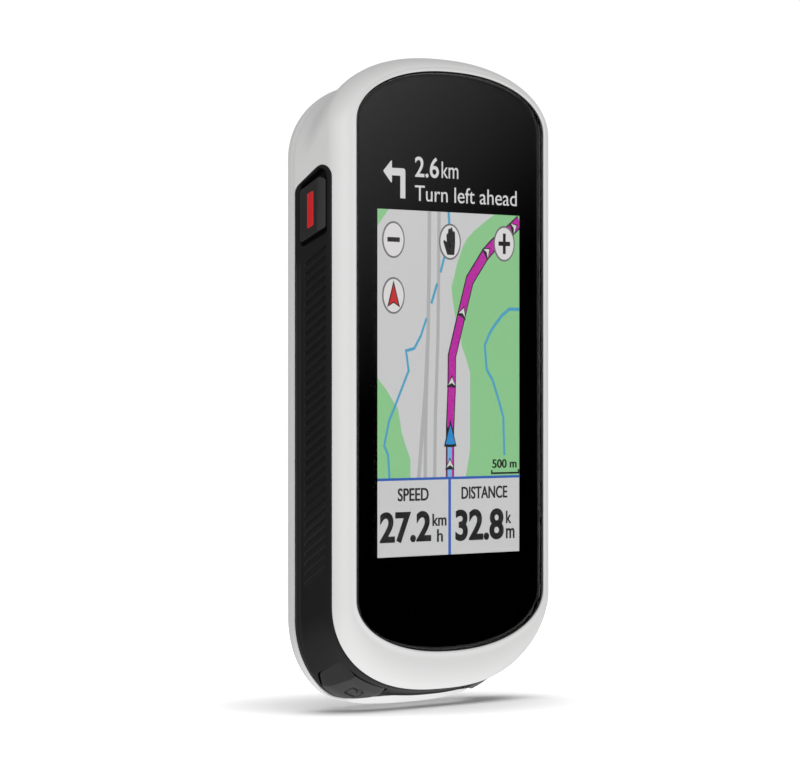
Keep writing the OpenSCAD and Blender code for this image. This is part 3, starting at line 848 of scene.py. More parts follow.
def side_strip(b, inner, with_key):
    """Rows of the ribbed side; columns lean with the grooves, so each follows its columns."""
    top = RIB_TOP if with_key else RIB_TOP + 4 * RIB_PITCH
    count = int(round((top - RIB_LOW) / RIB_PITCH)) + 1
    columns = [("z", FRAME_Z, 0.0)]
    if not with_key:
        columns = [("end", t, 0.0) for t in np.linspace(0, 1, 10)[:-1]]
    for k in range(1 if with_key else 0, count):
        fade = 1.0 - 0.75 * smooth((k - count * 0.62) / (count * 0.38))
        columns += [("z", top - k * RIB_PITCH - o, d * fade) for o, d in GROOVE]
    z_last = top - (count - 1) * RIB_PITCH - GROOVE[-1][0]
    columns += [("turn", t, 0.0) for t in np.linspace(0, 1, 27)[1:]]
    cut = np.array([c[2] for c in columns])

    def length(y, kind, v):
        if kind == "z":
            return s_of_z(y, v + lean(y))
        if kind == "end":
            return s_of_z(y, mix(z_end(y) - 0.05, top + 0.9 + lean(y), v))
        return mix(s_of_z(y, z_last + lean(y)), s_of_l(y, -CORNER_L), smooth(v) * 0.3 + v * 0.7)

    index = []
    for y in ROWS:
        p, n = band_row(y, np.array([length(y, kind, v) for kind, v, _ in columns]))
        inner.append(p - n * BAND_IN)
        window = smooth((y - RIB_Y[0] + 0.12) / 0.24) * smooth((RIB_Y[1] + 0.12 - y) / 0.24)
        index.append(b.add(p + n * (bead(y) - RIB_DEPTH * window * cut)[:, None]))
    b.sew(index)
    return index


def frame_outline(low):
    """Stretches (front, end, back) of the band's edge round the power key, as (y, z)."""
    rear, drop = ROWS[-1], 0.05
    slope = math.degrees(END_SLOPE)
    end = []
    for a in np.radians(np.linspace(180, slope, 22)):
        end.append((END_FRONT[0] + (END_R1 - drop) * math.cos(a),
                    END_FRONT[1] - drop + END_R1 * math.sin(a)))
    line_end = np.array([END_REAR[0] + END_R2 * math.cos(END_SLOPE),
                         END_REAR[1] - drop + END_R2 * math.sin(END_SLOPE)])
    end += [tuple(mix(np.array(end[21]), line_end, t)) for t in np.linspace(0, 1, 12)[1:]]
    for a in np.radians(np.linspace(slope, 12, 12)[1:]):
        end.append((END_REAR[0] + END_R2 * math.cos(a), END_REAR[1] - drop + END_R2 * math.sin(a)))
    end = [(min(y, rear), z) for y, z in end]
    front = [(ROWS[0], z) for z in np.linspace(low[0][1], end[0][1], 20)[1:-1]]
    back = [(rear, z) for z in np.linspace(end[-1][1], low[-1][1], 20)[1:-1]]
    return front, end, back


def half_band(with_key):
    """Sheet of one half of the band: points, inner points and faces."""
    b, inner = Build(), []
    side = side_strip(b, inner, with_key)

    def surround(opening, outer, fractions, place, own, shared, shared_first):
        """Quads from an opening to the loop round it; place gives a point and its inner
        point. Of the last row only own is new: the rest is shared with its neighbours."""
        rows = []
        for f in fractions:
            points, base = map(np.array, zip(*[place(*p) for p in mix(opening, outer, f)]))
            new = own if f == 1 else slice(None)
            inner.append(base[new])
            rows.append(b.add(points[new]))
        rows[-1] = np.concatenate([shared, rows[-1]] if shared_first else [rows[-1], shared])
        b.sew(rows, True)
        return rows[-1]

    def round_power_key(y, z):
        y = float(np.clip(y, ROWS[0], ROWS[-1]))
        q, n = on_skin(round(y, 3), [s_of_z(round(y, 3), z)])
        return q[0] + n[0] * bead(y, 1 - smooth((z - 18) / 3)), q[0] - n[0] * BAND_IN

    if with_key:
        low = [(y, FRAME_Z + lean(y)) for y in ROWS]
        front, end, back = frame_outline(low)
        # The loop runs from the front low corner up the front, along the end, down the back
        outer = np.array(front + end + back + low[::-1])
        ring = rounded(POCKET, [0.5, 0.9, 0.5, 0.5, 0.6, 0.6], 6)
        at = [(3.15, 25.2), (3.3, 33.9), (8.45, 31.7), (8.45, 22.6)]
        marks = [nearest(ring, p) for p in at]
        if ((marks[1] - marks[0]) % len(ring)) > len(ring) / 2:
            at, ring = ring[marks], ring[::-1]
            marks = [nearest(ring, p) for p in at]
        opening = along_loop(ring, marks, [len(front), len(end), len(back) + 1, len(low) - 1])
        surround(opening, outer, [0, 0.07, 0.16, 0.28, 0.42, 0.58, 0.76, 1], round_power_key,
                 slice(len(front) + len(end) + len(back)), [r[0] for r in side][::-1], False)

    # Round a corner key
    n_l, n_r = 64, len(ROWS)

    def edge(v, l):
        p, _ = on_skin(v, [s_of_l(v, l)])
        return float(sewn(v, p[0][0], p[0][2]))

    def round_corner_key(l, y):
        q, n = on_skin_at([y], [s_of_l(round(float(y), 2), l)])
        v = SPLIT_Y - (float(seam(q[0][0], q[0][2])) - y)
        return q[0] + n[0] * bead(v, smooth((abs(l) - 6.2) / 1.9)), q[0] - n[0] * BAND_IN

    across = np.linspace(-CORNER_L, CORNER_L, n_l + 1)[1:-1]
    outer = np.array([(-CORNER_L, edge(v, -CORNER_L)) for v in ROWS]
                     + [(l, edge(ROWS[-1], l)) for l in across]
                     + [(CORNER_L, edge(v, CORNER_L)) for v in ROWS[::-1]]
                     + [(l, ROWS[0]) for l in np.linspace(CORNER_L, -CORNER_L, n_l + 1)[1:-1]])
    hole = corner_outline(CORNER_GAP)
    marks = [nearest(hole, p) for p in KEY_MARKS]
    opening = along_loop(hole, marks, [n_r - 1, n_l, n_r - 1, n_l])
    last = surround(opening, outer, [0, 0.06, 0.14, 0.24, 0.36, 0.5, 0.66, 0.82, 1],
                    round_corner_key, slice(n_r, None), [r[-1] for r in side], True)
    right = last[n_r + n_l - 1: n_r + n_l - 1 + n_r][::-1]

    # From the corner key to the bottom centre
    index = []
    for first, y in zip(right, ROWS):
        s = np.array([mix(s_of_l(y, CORNER_L), 0.0, t) for t in np.linspace(0, 1, 27)])
        p, n = band_row(y, s[1:])
        p[-1][0], n[-1][0] = 0.0, 0.0
        inner.append(p - n * BAND_IN)
        index.append(np.concatenate([[first], b.add(p + n * bead(y))]))
    b.sew(index)
    return b.all(), np.concatenate(inner), b.faces


def band_mesh():
    left, left_in, left_faces = half_band(True)
    right, right_in, right_faces = half_band(False)
    points = np.concatenate([left, right * [-1, 1, 1]])
    inner = np.concatenate([left_in, right_in * [-1, 1, 1]])
    faces = left_faces + [[i + len(left) for i in f][::-1] for f in right_faces]
    # one mesh: points on the centre plane are shared
    keys, remap, keep = {}, [], []
    for i, p in enumerate(points):
        k = tuple(np.round(p, 5)) if abs(p[0]) < 1e-6 else i
        if k not in keys:
            keys[k] = len(keep)
            keep.append(i)
        remap.append(keys[k])
    faces = [[remap[i] for i in f] for f in faces]
    return thicken(points[keep], faces, inner[keep],
                   lambda here: 0.16 if len(here) > 600 else 0.12)


# ---- keys --------------------------------------------------------------------------------

KEY_FACE = 0.45                     # how far the power key stands out
KEY_MID = 6.4                       # depth of the middle of a corner key
MEMBRANE_DEPTHS = (1.47, 1.56)      # under the skin


def ring_between(outer, inner, place, steps):
    """Thin closed ring between two loops of parameters; place(u, v, depth) gives points."""
    near, far = MEMBRANE_DEPTHS
    up = np.linspace(0, 1, steps + 1)
    return solid_loft([[place(u, v, depth) for u, v in mix(outer, inner, t)]
                       for depth, ts in ((near, up), (far, up[::-1])) for t in ts], caps=False)


def facing_circle(outline, centre, r):
    """Points of a circle, each facing a point of an outline round it."""
    d = np.asarray(outline) - centre
    return np.asarray(centre) + r * unit(d)


def power_key():
    """Key whose face slopes away towards the front."""
    face, back = -HALF_W - KEY_FACE, -HALF_W + 0.85
    whole = side_solid(rounded(KEY_SHAPE, [0.3, 0.7, 0.45, 0.4, 0.45], 10), face, back)
    bm = to_bmesh(whole.all(), whole.faces)
    cut = bmesh.ops.bisect_plane(bm, geom=bm.verts[:] + bm.edges[:] + bm.faces[:],
                                 plane_co=Vector((face, 4.7, 0)),
                                 plane_no=Vector((-1.3, -0.45, 0)), clear_outer=True)
    edges = [e for e in cut["geom_cut"] if isinstance(e, bmesh.types.BMEdge)]
    bmesh.ops.contextual_create(bm, geom=edges)
    return bevelled(from_bmesh(bm), 0.11, 3, 12)


def power_mark():
    face = -HALF_W - KEY_FACE
    outline = rounded([(6.68, 25.1), (6.68, 30.65), (5.45, 31.25), (5.45, 25.75)], 0.2, 8)
    return bevelled(side_solid(outline, face - 0.05, face + 0.3), 0.045, 2, 40)


def power_membrane():
    outline = rounded(POCKET, 0.5, 6)
    centre = POWER_AT[1:]
    outline = centre + (outline - centre) * 1.02
    return ring_between(outline, facing_circle(outline, centre, 1.4),
                        lambda y, z, d: (-HALF_W + d, y, z), 1)


def corner_place(l, y, depth):
    p, n = on_skin_at([y], [s_of_l(round(float(y), 2), l)])
    return p[0] - n[0] * depth


def corner_membrane():
    outline = corner_outline(CORNER_GAP + 0.1)
    fine = along_loop(outline, [0, len(outline) // 2], [60, 60])
    return ring_between(fine, facing_circle(fine, (0, KEY_MID), 2.0), corner_place, 6)


def segment_distance(u, v, path):
    best = np.full(np.shape(u), 1e9)
    for (x0, y0), (x1, y1) in zip(path, path[1:]):
        dx, dy = x1 - x0, y1 - y0
        t = np.clip(((u - x0) * dx + (v - y0) * dy) / (dx * dx + dy * dy), 0, 1)
        best = np.minimum(best, np.hypot(u - x0 - t * dx, v - y0 - t * dy))
    return best


SIGN_W, SIGN_DEPTH = 0.17, 0.22
# Facets of a corner key: the height of its middle, and how its end, front, rear and tip fall off
KEY_H, FALL_END, FALL_FRONT, FALL_REAR, FALL_TIP = 0.32, 0.24, 0.34, 0.14, 0.10
LAP_ICON = [[(-0.2, -0.75), (-1.25, -0.75), (-1.6, -0.4), (-1.6, 0.35), (-1.25, 0.7), (1.25, 0.7),
             (1.6, 0.35), (1.6, -0.4), (1.25, -0.75), (0.9, -0.75)],
            [(0.35, -1.2), (-0.2, -0.75), (0.35, -0.3)]]
# The start key is built mirrored, so its sign is drawn mirrored here and reads the right way round
START_ICON = [[(1.5, -0.8), (1.5, 0.8), (0.2, 0.0), (1.5, -0.8)],
              [(-0.5, -0.7), (-0.5, 0.7), (-1.7, 0.7), (-1.7, -0.7), (-0.5, -0.7)]]


def corner_key(icon):
    """Faceted key that follows the corner of the band, with a moulded sign."""
    outline = corner_outline()
    low, high = outline[:, 1].min(), outline[:, 1].max()
    depths = np.concatenate([low + 0.7 * (1 - np.cos(np.linspace(0.12, math.pi / 2, 8))),
                             np.linspace(low + 0.7, high - 0.35, 38)[1:-1],
                             high - 0.35 * (1 - np.sin(np.linspace(0, math.pi / 2 - 0.3, 7)))])
    ring = np.concatenate([outline, outline[:1]])
    b, index, inner = Build(), [], []
    for y in depths:
        hits = [l0 + (y - y0) / (y1 - y0) * (l1 - l0) for (l0, y0), (l1, y1) in zip(ring, ring[1:])
                if (y0 - y) * (y1 - y) <= 0 and y0 != y1]
        u = mix(min(hits), max(hits), (np.linspace(-1, 1, 150) + 1) / 2)
        v = y - KEY_MID
        p, n = on_skin_at(np.full(len(u), y), [s_of_l(round(y, 2), x) for x in u])
        h = KEY_H - FALL_END * soft_ramp(-3.3 - 0.35 * v - u, 0.10)
        h -= FALL_FRONT * soft_ramp(-1.15 + 0.05 * u - v, 0.08)
        h -= FALL_REAR * soft_ramp(v - 1.6, 0.1)
        h -= FALL_TIP * soft_ramp(u - 5.1, 0.1)
        for path in icon:
            d = segment_distance(u - 1.0, np.full(len(u), v - 0.35), path)
            h -= SIGN_DEPTH * smooth((SIGN_W - d) / 0.09)
        index.append(b.add(p + n * h[:, None]))
        inner.append(p - n * 0.8)
    b.sew(index)
    return thicken(b.all(), b.faces, np.concatenate(inner), 0.07, steps=3)


def soft_ramp(x, r):
    """Zero below 0 and x above it, with a bend of radius r."""
    return 0.5 * (x + np.sqrt(x * x + r * r)) - 0.5 * r


# ---- hub ---------------------------------------------------------------------------------

def arc(*degrees):
    """(sine, 1 - cosine) of each angle: the steps of a rounded rim."""
    return [(math.sin(a), 1 - math.cos(a)) for a in map(math.radians, degrees)]


def pill_radius(grow, t):
    """Radius of the hub's contact recess, grown by a margin, at the angles t."""
    w, h = PILL
    ring = rounded(rectangle(w, h), 1.8, 12) * [1 + grow / (w / 2), 1 + grow / (h / 2)]
    closed = np.concatenate([ring, ring[:1]])
    at = np.linspace(0, len(ring), 24 * len(ring))
    closed = np.stack([np.interp(at, np.arange(len(closed)), closed[:, k]) for k in (0, 1)], 1)
    angle = np.unwrap(np.arctan2(closed[:, 1], closed[:, 0]))
    if angle[-1] < angle[0]:
        angle, closed = angle[::-1], closed[::-1]
    radius = np.hypot(closed[:, 0], closed[:, 1])
    return np.interp((t - angle[0]) % (2 * math.pi) + angle[0], angle, radius)


PILL, PILL_DEPTH = (15.0, 4.0), 0.3
WING_HALF, WING_T = 30.1, 1.8               # half the angle of a wing, in degrees
PLATE_R, PLATE_Y, PLATE_RIM = 16.6, BACK_Y + 1.2, 0.3
SCREW_RING, SCREW_HOLE_R, SCREW_HOLE_N = 14.5, 1.5, 40
RIM = 0.4                                   # rounding of the hub's outer face


def hub_mesh():
    """Bayonet hub: a round core with two wings on a plate with four screw holes."""
    near = [28.9, 29.2, 29.5, 29.8, 30.1, 30.4, 30.7, 31.0, 31.3]
    deg = np.array(sorted({float(a) for a in range(0, 360, 3)}
                          | {round(c + s * a, 3) % 360 for c in (0, 180) for s in (-1, 1)
                             for a in near}))
    lead = (deg + 90) % 180 - 90
    off = np.abs(lead)
    t = np.radians(deg)
    wing = WING_R - HUB_R - 0.05
    reach = HUB_R + 0.05 + wing * smooth((WING_HALF + 0.9 - off) / 1.8)
    # the wing's inner side rises over one half of its angle
    under = HUB_Y - WING_T + 0.55 * smooth((lead - 19) / 11) * smooth((31.5 - off) / 1.0)

    def row(r, y):
        r = np.broadcast_to(r, t.shape)
        return np.stack([r * np.cos(t), np.broadcast_to(y, t.shape), HUB_Z + r * np.sin(t)], 1)

    floor_y = HUB_Y - PILL_DEPTH
    rows = [row(pill_radius(g, t), y) for g, y in (
        (-0.10, floor_y), (-0.03, floor_y + 0.03), (0.0, floor_y + 0.1), (0.0, HUB_Y - 0.1),
        (0.03, HUB_Y - 0.03), (0.1, HUB_Y))]
    top = reach - RIM
    rows += [row(mix(pill_radius(0.1, t), top, f), HUB_Y) for f in (0.06, 0.3, 0.6, 0.9)]
    rows += [row(top + RIM * s, HUB_Y - RIM * c) for s, c in arc(0, 18, 36, 54, 72, 90)]
    fillet = np.clip(reach - HUB_R - 0.03, 0.02, 0.3)
    rows += [row(reach - fillet * c, under + fillet * (1 - s)) for s, c in arc(0, 30, 60, 90)]
    rows.append(row(mix(reach - fillet, HUB_R + 0.01, 0.96), under))
    rows += [row(HUB_R, under - 0.05), row(HUB_R, PLATE_Y + 1.4)]
    rows += [row(HUB_R + 0.35 * c, PLATE_Y + 0.35 * (1 - s)) for s, c in arc(0, 22, 45, 67, 90)]
    b = Build()
    index = b.rows(rows)
    b.cap(index[0])
    edge = b.rows([row(PLATE_R - PLATE_RIM * (1 - s), PLATE_Y - PLATE_RIM * c)
                   for s, c in arc(0, 22, 45, 67, 90)] + [row(PLATE_R, BACK_Y + 0.02)])
    b.cap(edge[-1])
    spots = [(SCREW_RING * math.cos(a), HUB_Z + SCREW_RING * math.sin(a))
             for a in np.radians((45, 135, 225, 315))]
    n = SCREW_HOLE_N
    holes = [circle(SCREW_HOLE_R + 0.06, x, z, n) for x, z in spots]
    start = b.count
    flat_with_holes(b, edge[0], holes, PLATE_Y, inner_ring=index[-1])
    for k, (x, z) in enumerate(spots):
        well = [np.arange(start + n * k, start + n * (k + 1))]
        well += [b.add(at_depth(circle(SCREW_HOLE_R + grow, x, z, n), PLATE_Y - deep))
                 for grow, deep in ((0.01, 0.03), (0, 0.09), (0, 0.5))]
        b.sew(well, True)
        b.cap(well[-1])
    return b, spots


def torx_screw(x, z, top, r, drop, n=60):
    """Head of a six-lobed screw that faces +Y, with a rounded rim."""
    t = np.linspace(0, 2 * math.pi, n, endpoint=False)
    lobes = r * (0.44 + 0.07 * np.cos(6 * t))
    rows = [(lobes * 0.6, 0.5 * r), (lobes, 0.42 * r), (lobes, 0.06), (lobes + 0.05, 0.012)]
    rows += [(mix(lobes + 0.05, r * 0.75, f), 0.0) for f in (0.3, 1.0)]
    rows += [(r * 0.9, 0.04 * r), (r * 0.98, 0.12 * r), (r, 0.24 * r), (r, drop),
             (0.45 * r, drop), (0.45 * r, drop + 1.6)]
    return solid_loft([at_depth(circle(rad, x, z, n), top - deep) for rad, deep in rows])


# ---- weather cap ---------------------------------------------------------------------------

def rounded_plate(outline_at, y0, y1, r, r_back=None, crown=0.0):
    """Plate in (x, z) from y0 to y1 whose rims are rounded, by r on the +Y side;
    outline_at(d) is its outline inset by d."""
    rb = r if r_back is None else r_back
    rows = [(rb * c, y0 + rb * (1 - s)) for s, c in arc(90, 60, 30, 0)]
    rows += [(r * c, y1 - r * (1 - s)) for s, c in arc(0, 22, 45, 67, 90)]
    if crown:
        rows += [(r + d, y1 + crown * smooth(d / 2.4)) for d in (0.5, 1.0, 1.6, 2.2)]
    return solid_loft([at_depth(outline_at(d), y) for d, y in rows])


def pill_outline(w, h, r, z, steps=8):
    def at(d):
        return rounded(rectangle(w - 2 * d, h - 2 * d, 0, z), max(0.05, r - d), steps)
    return at


TONGUE_HALF_W = 2.4


def hinge_arc(r, side, angles):
    """Points (y, z) of an arc about the hinge; side 1 faces the back, -1 the front."""
    return [(HINGE_Y + side * r * math.cos(a), HINGE_Z + side * r * math.sin(a)) for a in angles]


def hinge_solid(side):
    return bevelled(side_solid(side, -TONGUE_HALF_W, TONGUE_HALF_W), 0.1, 3, 45)


def cap_mesh():
    """Weather cap with its plug, finger grip and the tongue that turns in the anchor."""
    under = BACK_Y - CAP_T
    plate = rounded_plate(pill_outline(CAP_W - 0.3, CAP_H - 0.3, 1.5, PORT_Z, 10), under, BACK_Y,
                          0.22, crown=0.10)
    plug = rounded_plate(pill_outline(8.4, 2.9, 1.3, PORT_Z), under - 0.8, BACK_Y - 0.5, 0.1, 0.3)
    grip = rounded_plate(pill_outline(6.4, 0.9, 0.44, PORT_Z + 3.2), BACK_Y - 0.3, BACK_Y + 0.38,
                         0.3, 0.1)
    side = hinge_arc(HINGE_R, 1, np.linspace(0, -math.pi, 17)) + [
        (under, HINGE_Z + 0.25), (under, HINGE_Z + 2.0), (BACK_Y - 0.02, HINGE_Z + 2.0)]
    return join_builds(plate, plug, grip, hinge_solid(side))


def anchor_mesh():
    """Foot of the cap's tongue, with the groove it turns in."""
    groove_r, low, lip = HINGE_R + 0.05, HINGE_Z - TONGUE_DROP, HINGE_Z - 0.68
    start = math.asin(0.229 / groove_r)
    side = hinge_arc(groove_r, -1, np.linspace(start, math.pi / 2, 10)) + [
        (HINGE_Y + 0.02, lip), (BACK_Y, lip), (BACK_Y, low), (BACK_Y - 1, low)]
    return hinge_solid(side)


# ---- glass and picture -----------------------------------------------------------------------

PICTURE_X, PICTURE_TOP, PICTURE_LOW = 19.45, 28.55, -27.2
GLASS_T, MASK_Y, MASK_BACK = 0.95, 0.975, 1.1
LAYER_Y, LAYER_BACK, LAYER_STEP = 1.05, 1.09, 0.011


def glass_pane():
    rows = [loop(inset(FRONT_IN, 0.82 + d), y) for d, y in
            ((0.5, GLASS_T), (0.12, GLASS_T), (0.03, GLASS_T - 0.03), (0.0, GLASS_T - 0.12),
             (0.0, 0.1), (0.012, 0.04), (0.04, 0.012), (0.08, 0.0), (0.6, 0.0))]
    return solid_loft(rows)


def gap_shade_bead():
    """Black bead that fills the gap round the glass: painted shade that keeps the gap dark."""
    return solid_loft([loop(inset(FRONT_IN, d), y) for d, y in (
        (0.54, 0.1), (0.54, 0.95), (0.81, 0.95), (0.81, 0.1), (0.76, 0.05), (0.68, 0.035),
        (0.6, 0.05))], caps=False)


def mask_plate():
    """Black print behind the glass, open over the picture."""
    b = Build()
    depths = (MASK_Y, MASK_BACK)
    index = b.rows([loop(inset(GLASS_OUT, 0.06), y) for y in depths])
    window = np.array(rectangle(2 * PICTURE_X, PICTURE_TOP - PICTURE_LOW, 0,
                                (PICTURE_TOP + PICTURE_LOW) / 2))
    rings = []
    for ring, y in zip(index, depths):
        rings.append(np.arange(b.count, b.count + 4))
        flat_with_holes(b, ring, [window], y)
    b.sew(rings, True)
    return b


def layer(level):
    return LAYER_Y - level * LAYER_STEP


def flat_shape(outline, level):
    return prism(outline, layer(level), LAYER_BACK)


def stroke(path, width, level, close=False):
    """Line of constant width with mitred bends."""
    p = np.asarray(path, float)
    along = unit(np.roll(p, -1, 0) - p)         # direction of the stretch after each point
    before = np.roll(along, 1, 0)
    if not close:
        before[0], along[-1] = along[0], before[-1]
    middle = unit(before + along)
    normal = middle[:, ::-1] * [-1, 1]
    reach = width / 2 / np.maximum(0.4, np.abs((normal * before[:, ::-1] * [-1, 1]).sum(1)))
    left, right = p + normal * reach[:, None], p - normal * reach[:, None]
    b = Build()
    y0, y1 = layer(level), LAYER_BACK
    index = [b.add(at_depth(q, y)) for q, y in ((left, y0), (right, y0), (right, y1), (left, y1))]
    for a, c in zip(index, index[1:] + index[:1]):
        b.strip(a, c, close)
    if not close:
        b.cap([r[0] for r in index])
        b.cap([r[-1] for r in index])
    return b


def text_mesh(body, level, x0, x1, low, high, weight):
    """Letters that fill a box from x0 to x1 and low to high, on the picture."""
    curve = bpy.data.curves.new("text", "FONT")
    curve.body, curve.size, curve.offset = body, 1.0, weight
    curve.extrude, curve.resolution_u = 0.5, 6
    o = bpy.data.objects.new("text", curve)
    bpy.context.scene.collection.objects.link(o)
    bpy.context.view_layer.update()
    me = bpy.data.meshes.new_from_object(
        o.evaluated_get(bpy.context.evaluated_depsgraph_get()))
    bpy.data.objects.remove(o)
    co = np.array([v.co[:] for v in me.vertices])
    faces = [list(p.vertices) for p in me.polygons]
    bpy.data.meshes.remove(me)
    lo, hi = co.min(0), co.max(0)
    sx, sz = (x1 - x0) / (hi[0] - lo[0]), (high - low) / (hi[1] - lo[1])
    depth = np.where(co[:, 2] > 0, layer(level), LAYER_Y + 0.02)
    points = np.stack([x0 + (co[:, 0] - lo[0]) * sx, depth, low + (co[:, 1] - lo[1]) * sz], 1)
    return weld(points, faces)


def lcd(name, colour):
    """Lit pixels: a colour of its own light, with the faint grid of the panel."""
    m, net, shader = new_material("picture_" + name)
    where = net.where()
    grid = net.new("TexVoronoi", {"Vector": where, "Scale": 9000, "Randomness": 0.0},
                   "Distance", distance="CHEBYCHEV")
    worn = net.math("MULTIPLY", net.noise(where, 40), grid)
    net.set(shader, {
        "Base Color": (0.01, 0.01, 0.01, 1), "Roughness": 0.5, "Emission Strength": 1.0,
        "Emission Color": net.blend(worn, tone(colour, 1.03), tone(colour, 0.90))})
    return m


def rgb(*values):
    """Linear colour of sRGB values from 0 to 255."""
    return [v / 255 / 12.92 if v <= 0.04045 * 255 else ((v / 255 + 0.055) / 1.055) ** 2.4
            for v in values]


PIXELS = {name: lcd(name, rgb(*colour)) for name, colour in {
    "land": (205, 205, 206), "park": (140, 200, 141), "road": (176, 176, 177),
    "water": (74, 160, 196), "route": (186, 28, 160), "dark": (20, 18, 22), "black": (6, 6, 6),
    "light": (214, 214, 214), "button": (222, 220, 220), "rim": (112, 110, 114),
    "rule": (44, 92, 178), "pointer": (30, 136, 204), "needle": (196, 26, 26),
    "done": (112, 178, 226), "needle_edge": (60, 18, 20),
}.items()}

INK = material("mask_ink", (0.0004, 0.0004, 0.0005), 0.9, spread=0.2, patch=300, bump=0.0,
               specular=0.0)
# painted shade: near black, for the bead in the gap round the glass
GAP_SHADE = material("gap_shade_bead", (0.003, 0.003, 0.003), 0.7, spread=0.2, patch=500, bump=0.1,
                specular=0.15)
GOLD = material("contact_gold", (0.83, 0.60, 0.25), 0.26, spread=0.08, patch=900, metallic=1.0,
                bump=0.05)
STEEL = material("steel", (0.52, 0.52, 0.54), 0.30, spread=0.08, patch=1200, metallic=1.0,
                 bump=0.08)
HUB = material("hub_plastic", (0.020, 0.020, 0.021), 0.40, spread=0.15, patch=180, grain=5200,
               bump=0.2)
RUBBER = material("cap_rubber", (0.030, 0.030, 0.031), 0.55, spread=0.12, patch=300, grain=6500,
                  bump=0.22)


def glass_material():
    """Clear toughened glass: faint smears vary the gloss."""
    m, net, shader = new_material("cover_glass")
    net.set(shader, {"Base Color": (1, 1, 1, 1), "Transmission Weight": 1.0, "IOR": 1.5,
                     "Roughness": net.ramp(net.noise(net.where(), 55, 4), 0.0, 1.0, 0.0, 0.015)})
    return m


def corner_material_painted_shade(name, side):
    """Key plastic, with painted shade: darker on the flat at its outer end."""
    m = material(name, (0.032, 0.032, 0.033), 0.40, spread=0.10, patch=260, grain=9000,
                 bump=0.15, specular=0.42)
    net, shader = Nodes(m.node_tree), m.node_tree.nodes["Principled BSDF"]
    axis = np.array([-side * math.cos(TILT), 0.35, -math.sin(TILT)])
    at = metres(CORNER_AT * [-side, 1, 1]) @ axis
    # painted shade: the base colour falls to a quarter on the end flat
    flat = net.ramp(net.vector("DOT_PRODUCT", net.where(), tuple(axis)),
                    at - 0.0034, at - 0.0031, 0.25, 1.0)
    plain = shader.inputs["Base Color"].links[0].from_socket
    net.set(shader, {"Base Color": net.new("VectorMath", {0: plain, "Scale": flat}, "Vector",
                                           operation="SCALE")})
    return m


def show(name, builds, colour):
    piece(name, join_builds(*builds), PIXELS[colour])


CHEVRONS = [((17.9, 26.55), (2.4, 1.2)), ((10.3, 22.35), (2.0, 1.6)), ((3.5, 12.3), (1.8, 4.4)),
            ((0.5, 0.9), (0.05, 1)), ((0.0, -12.5), (0.0, 1))]      # (place, direction)


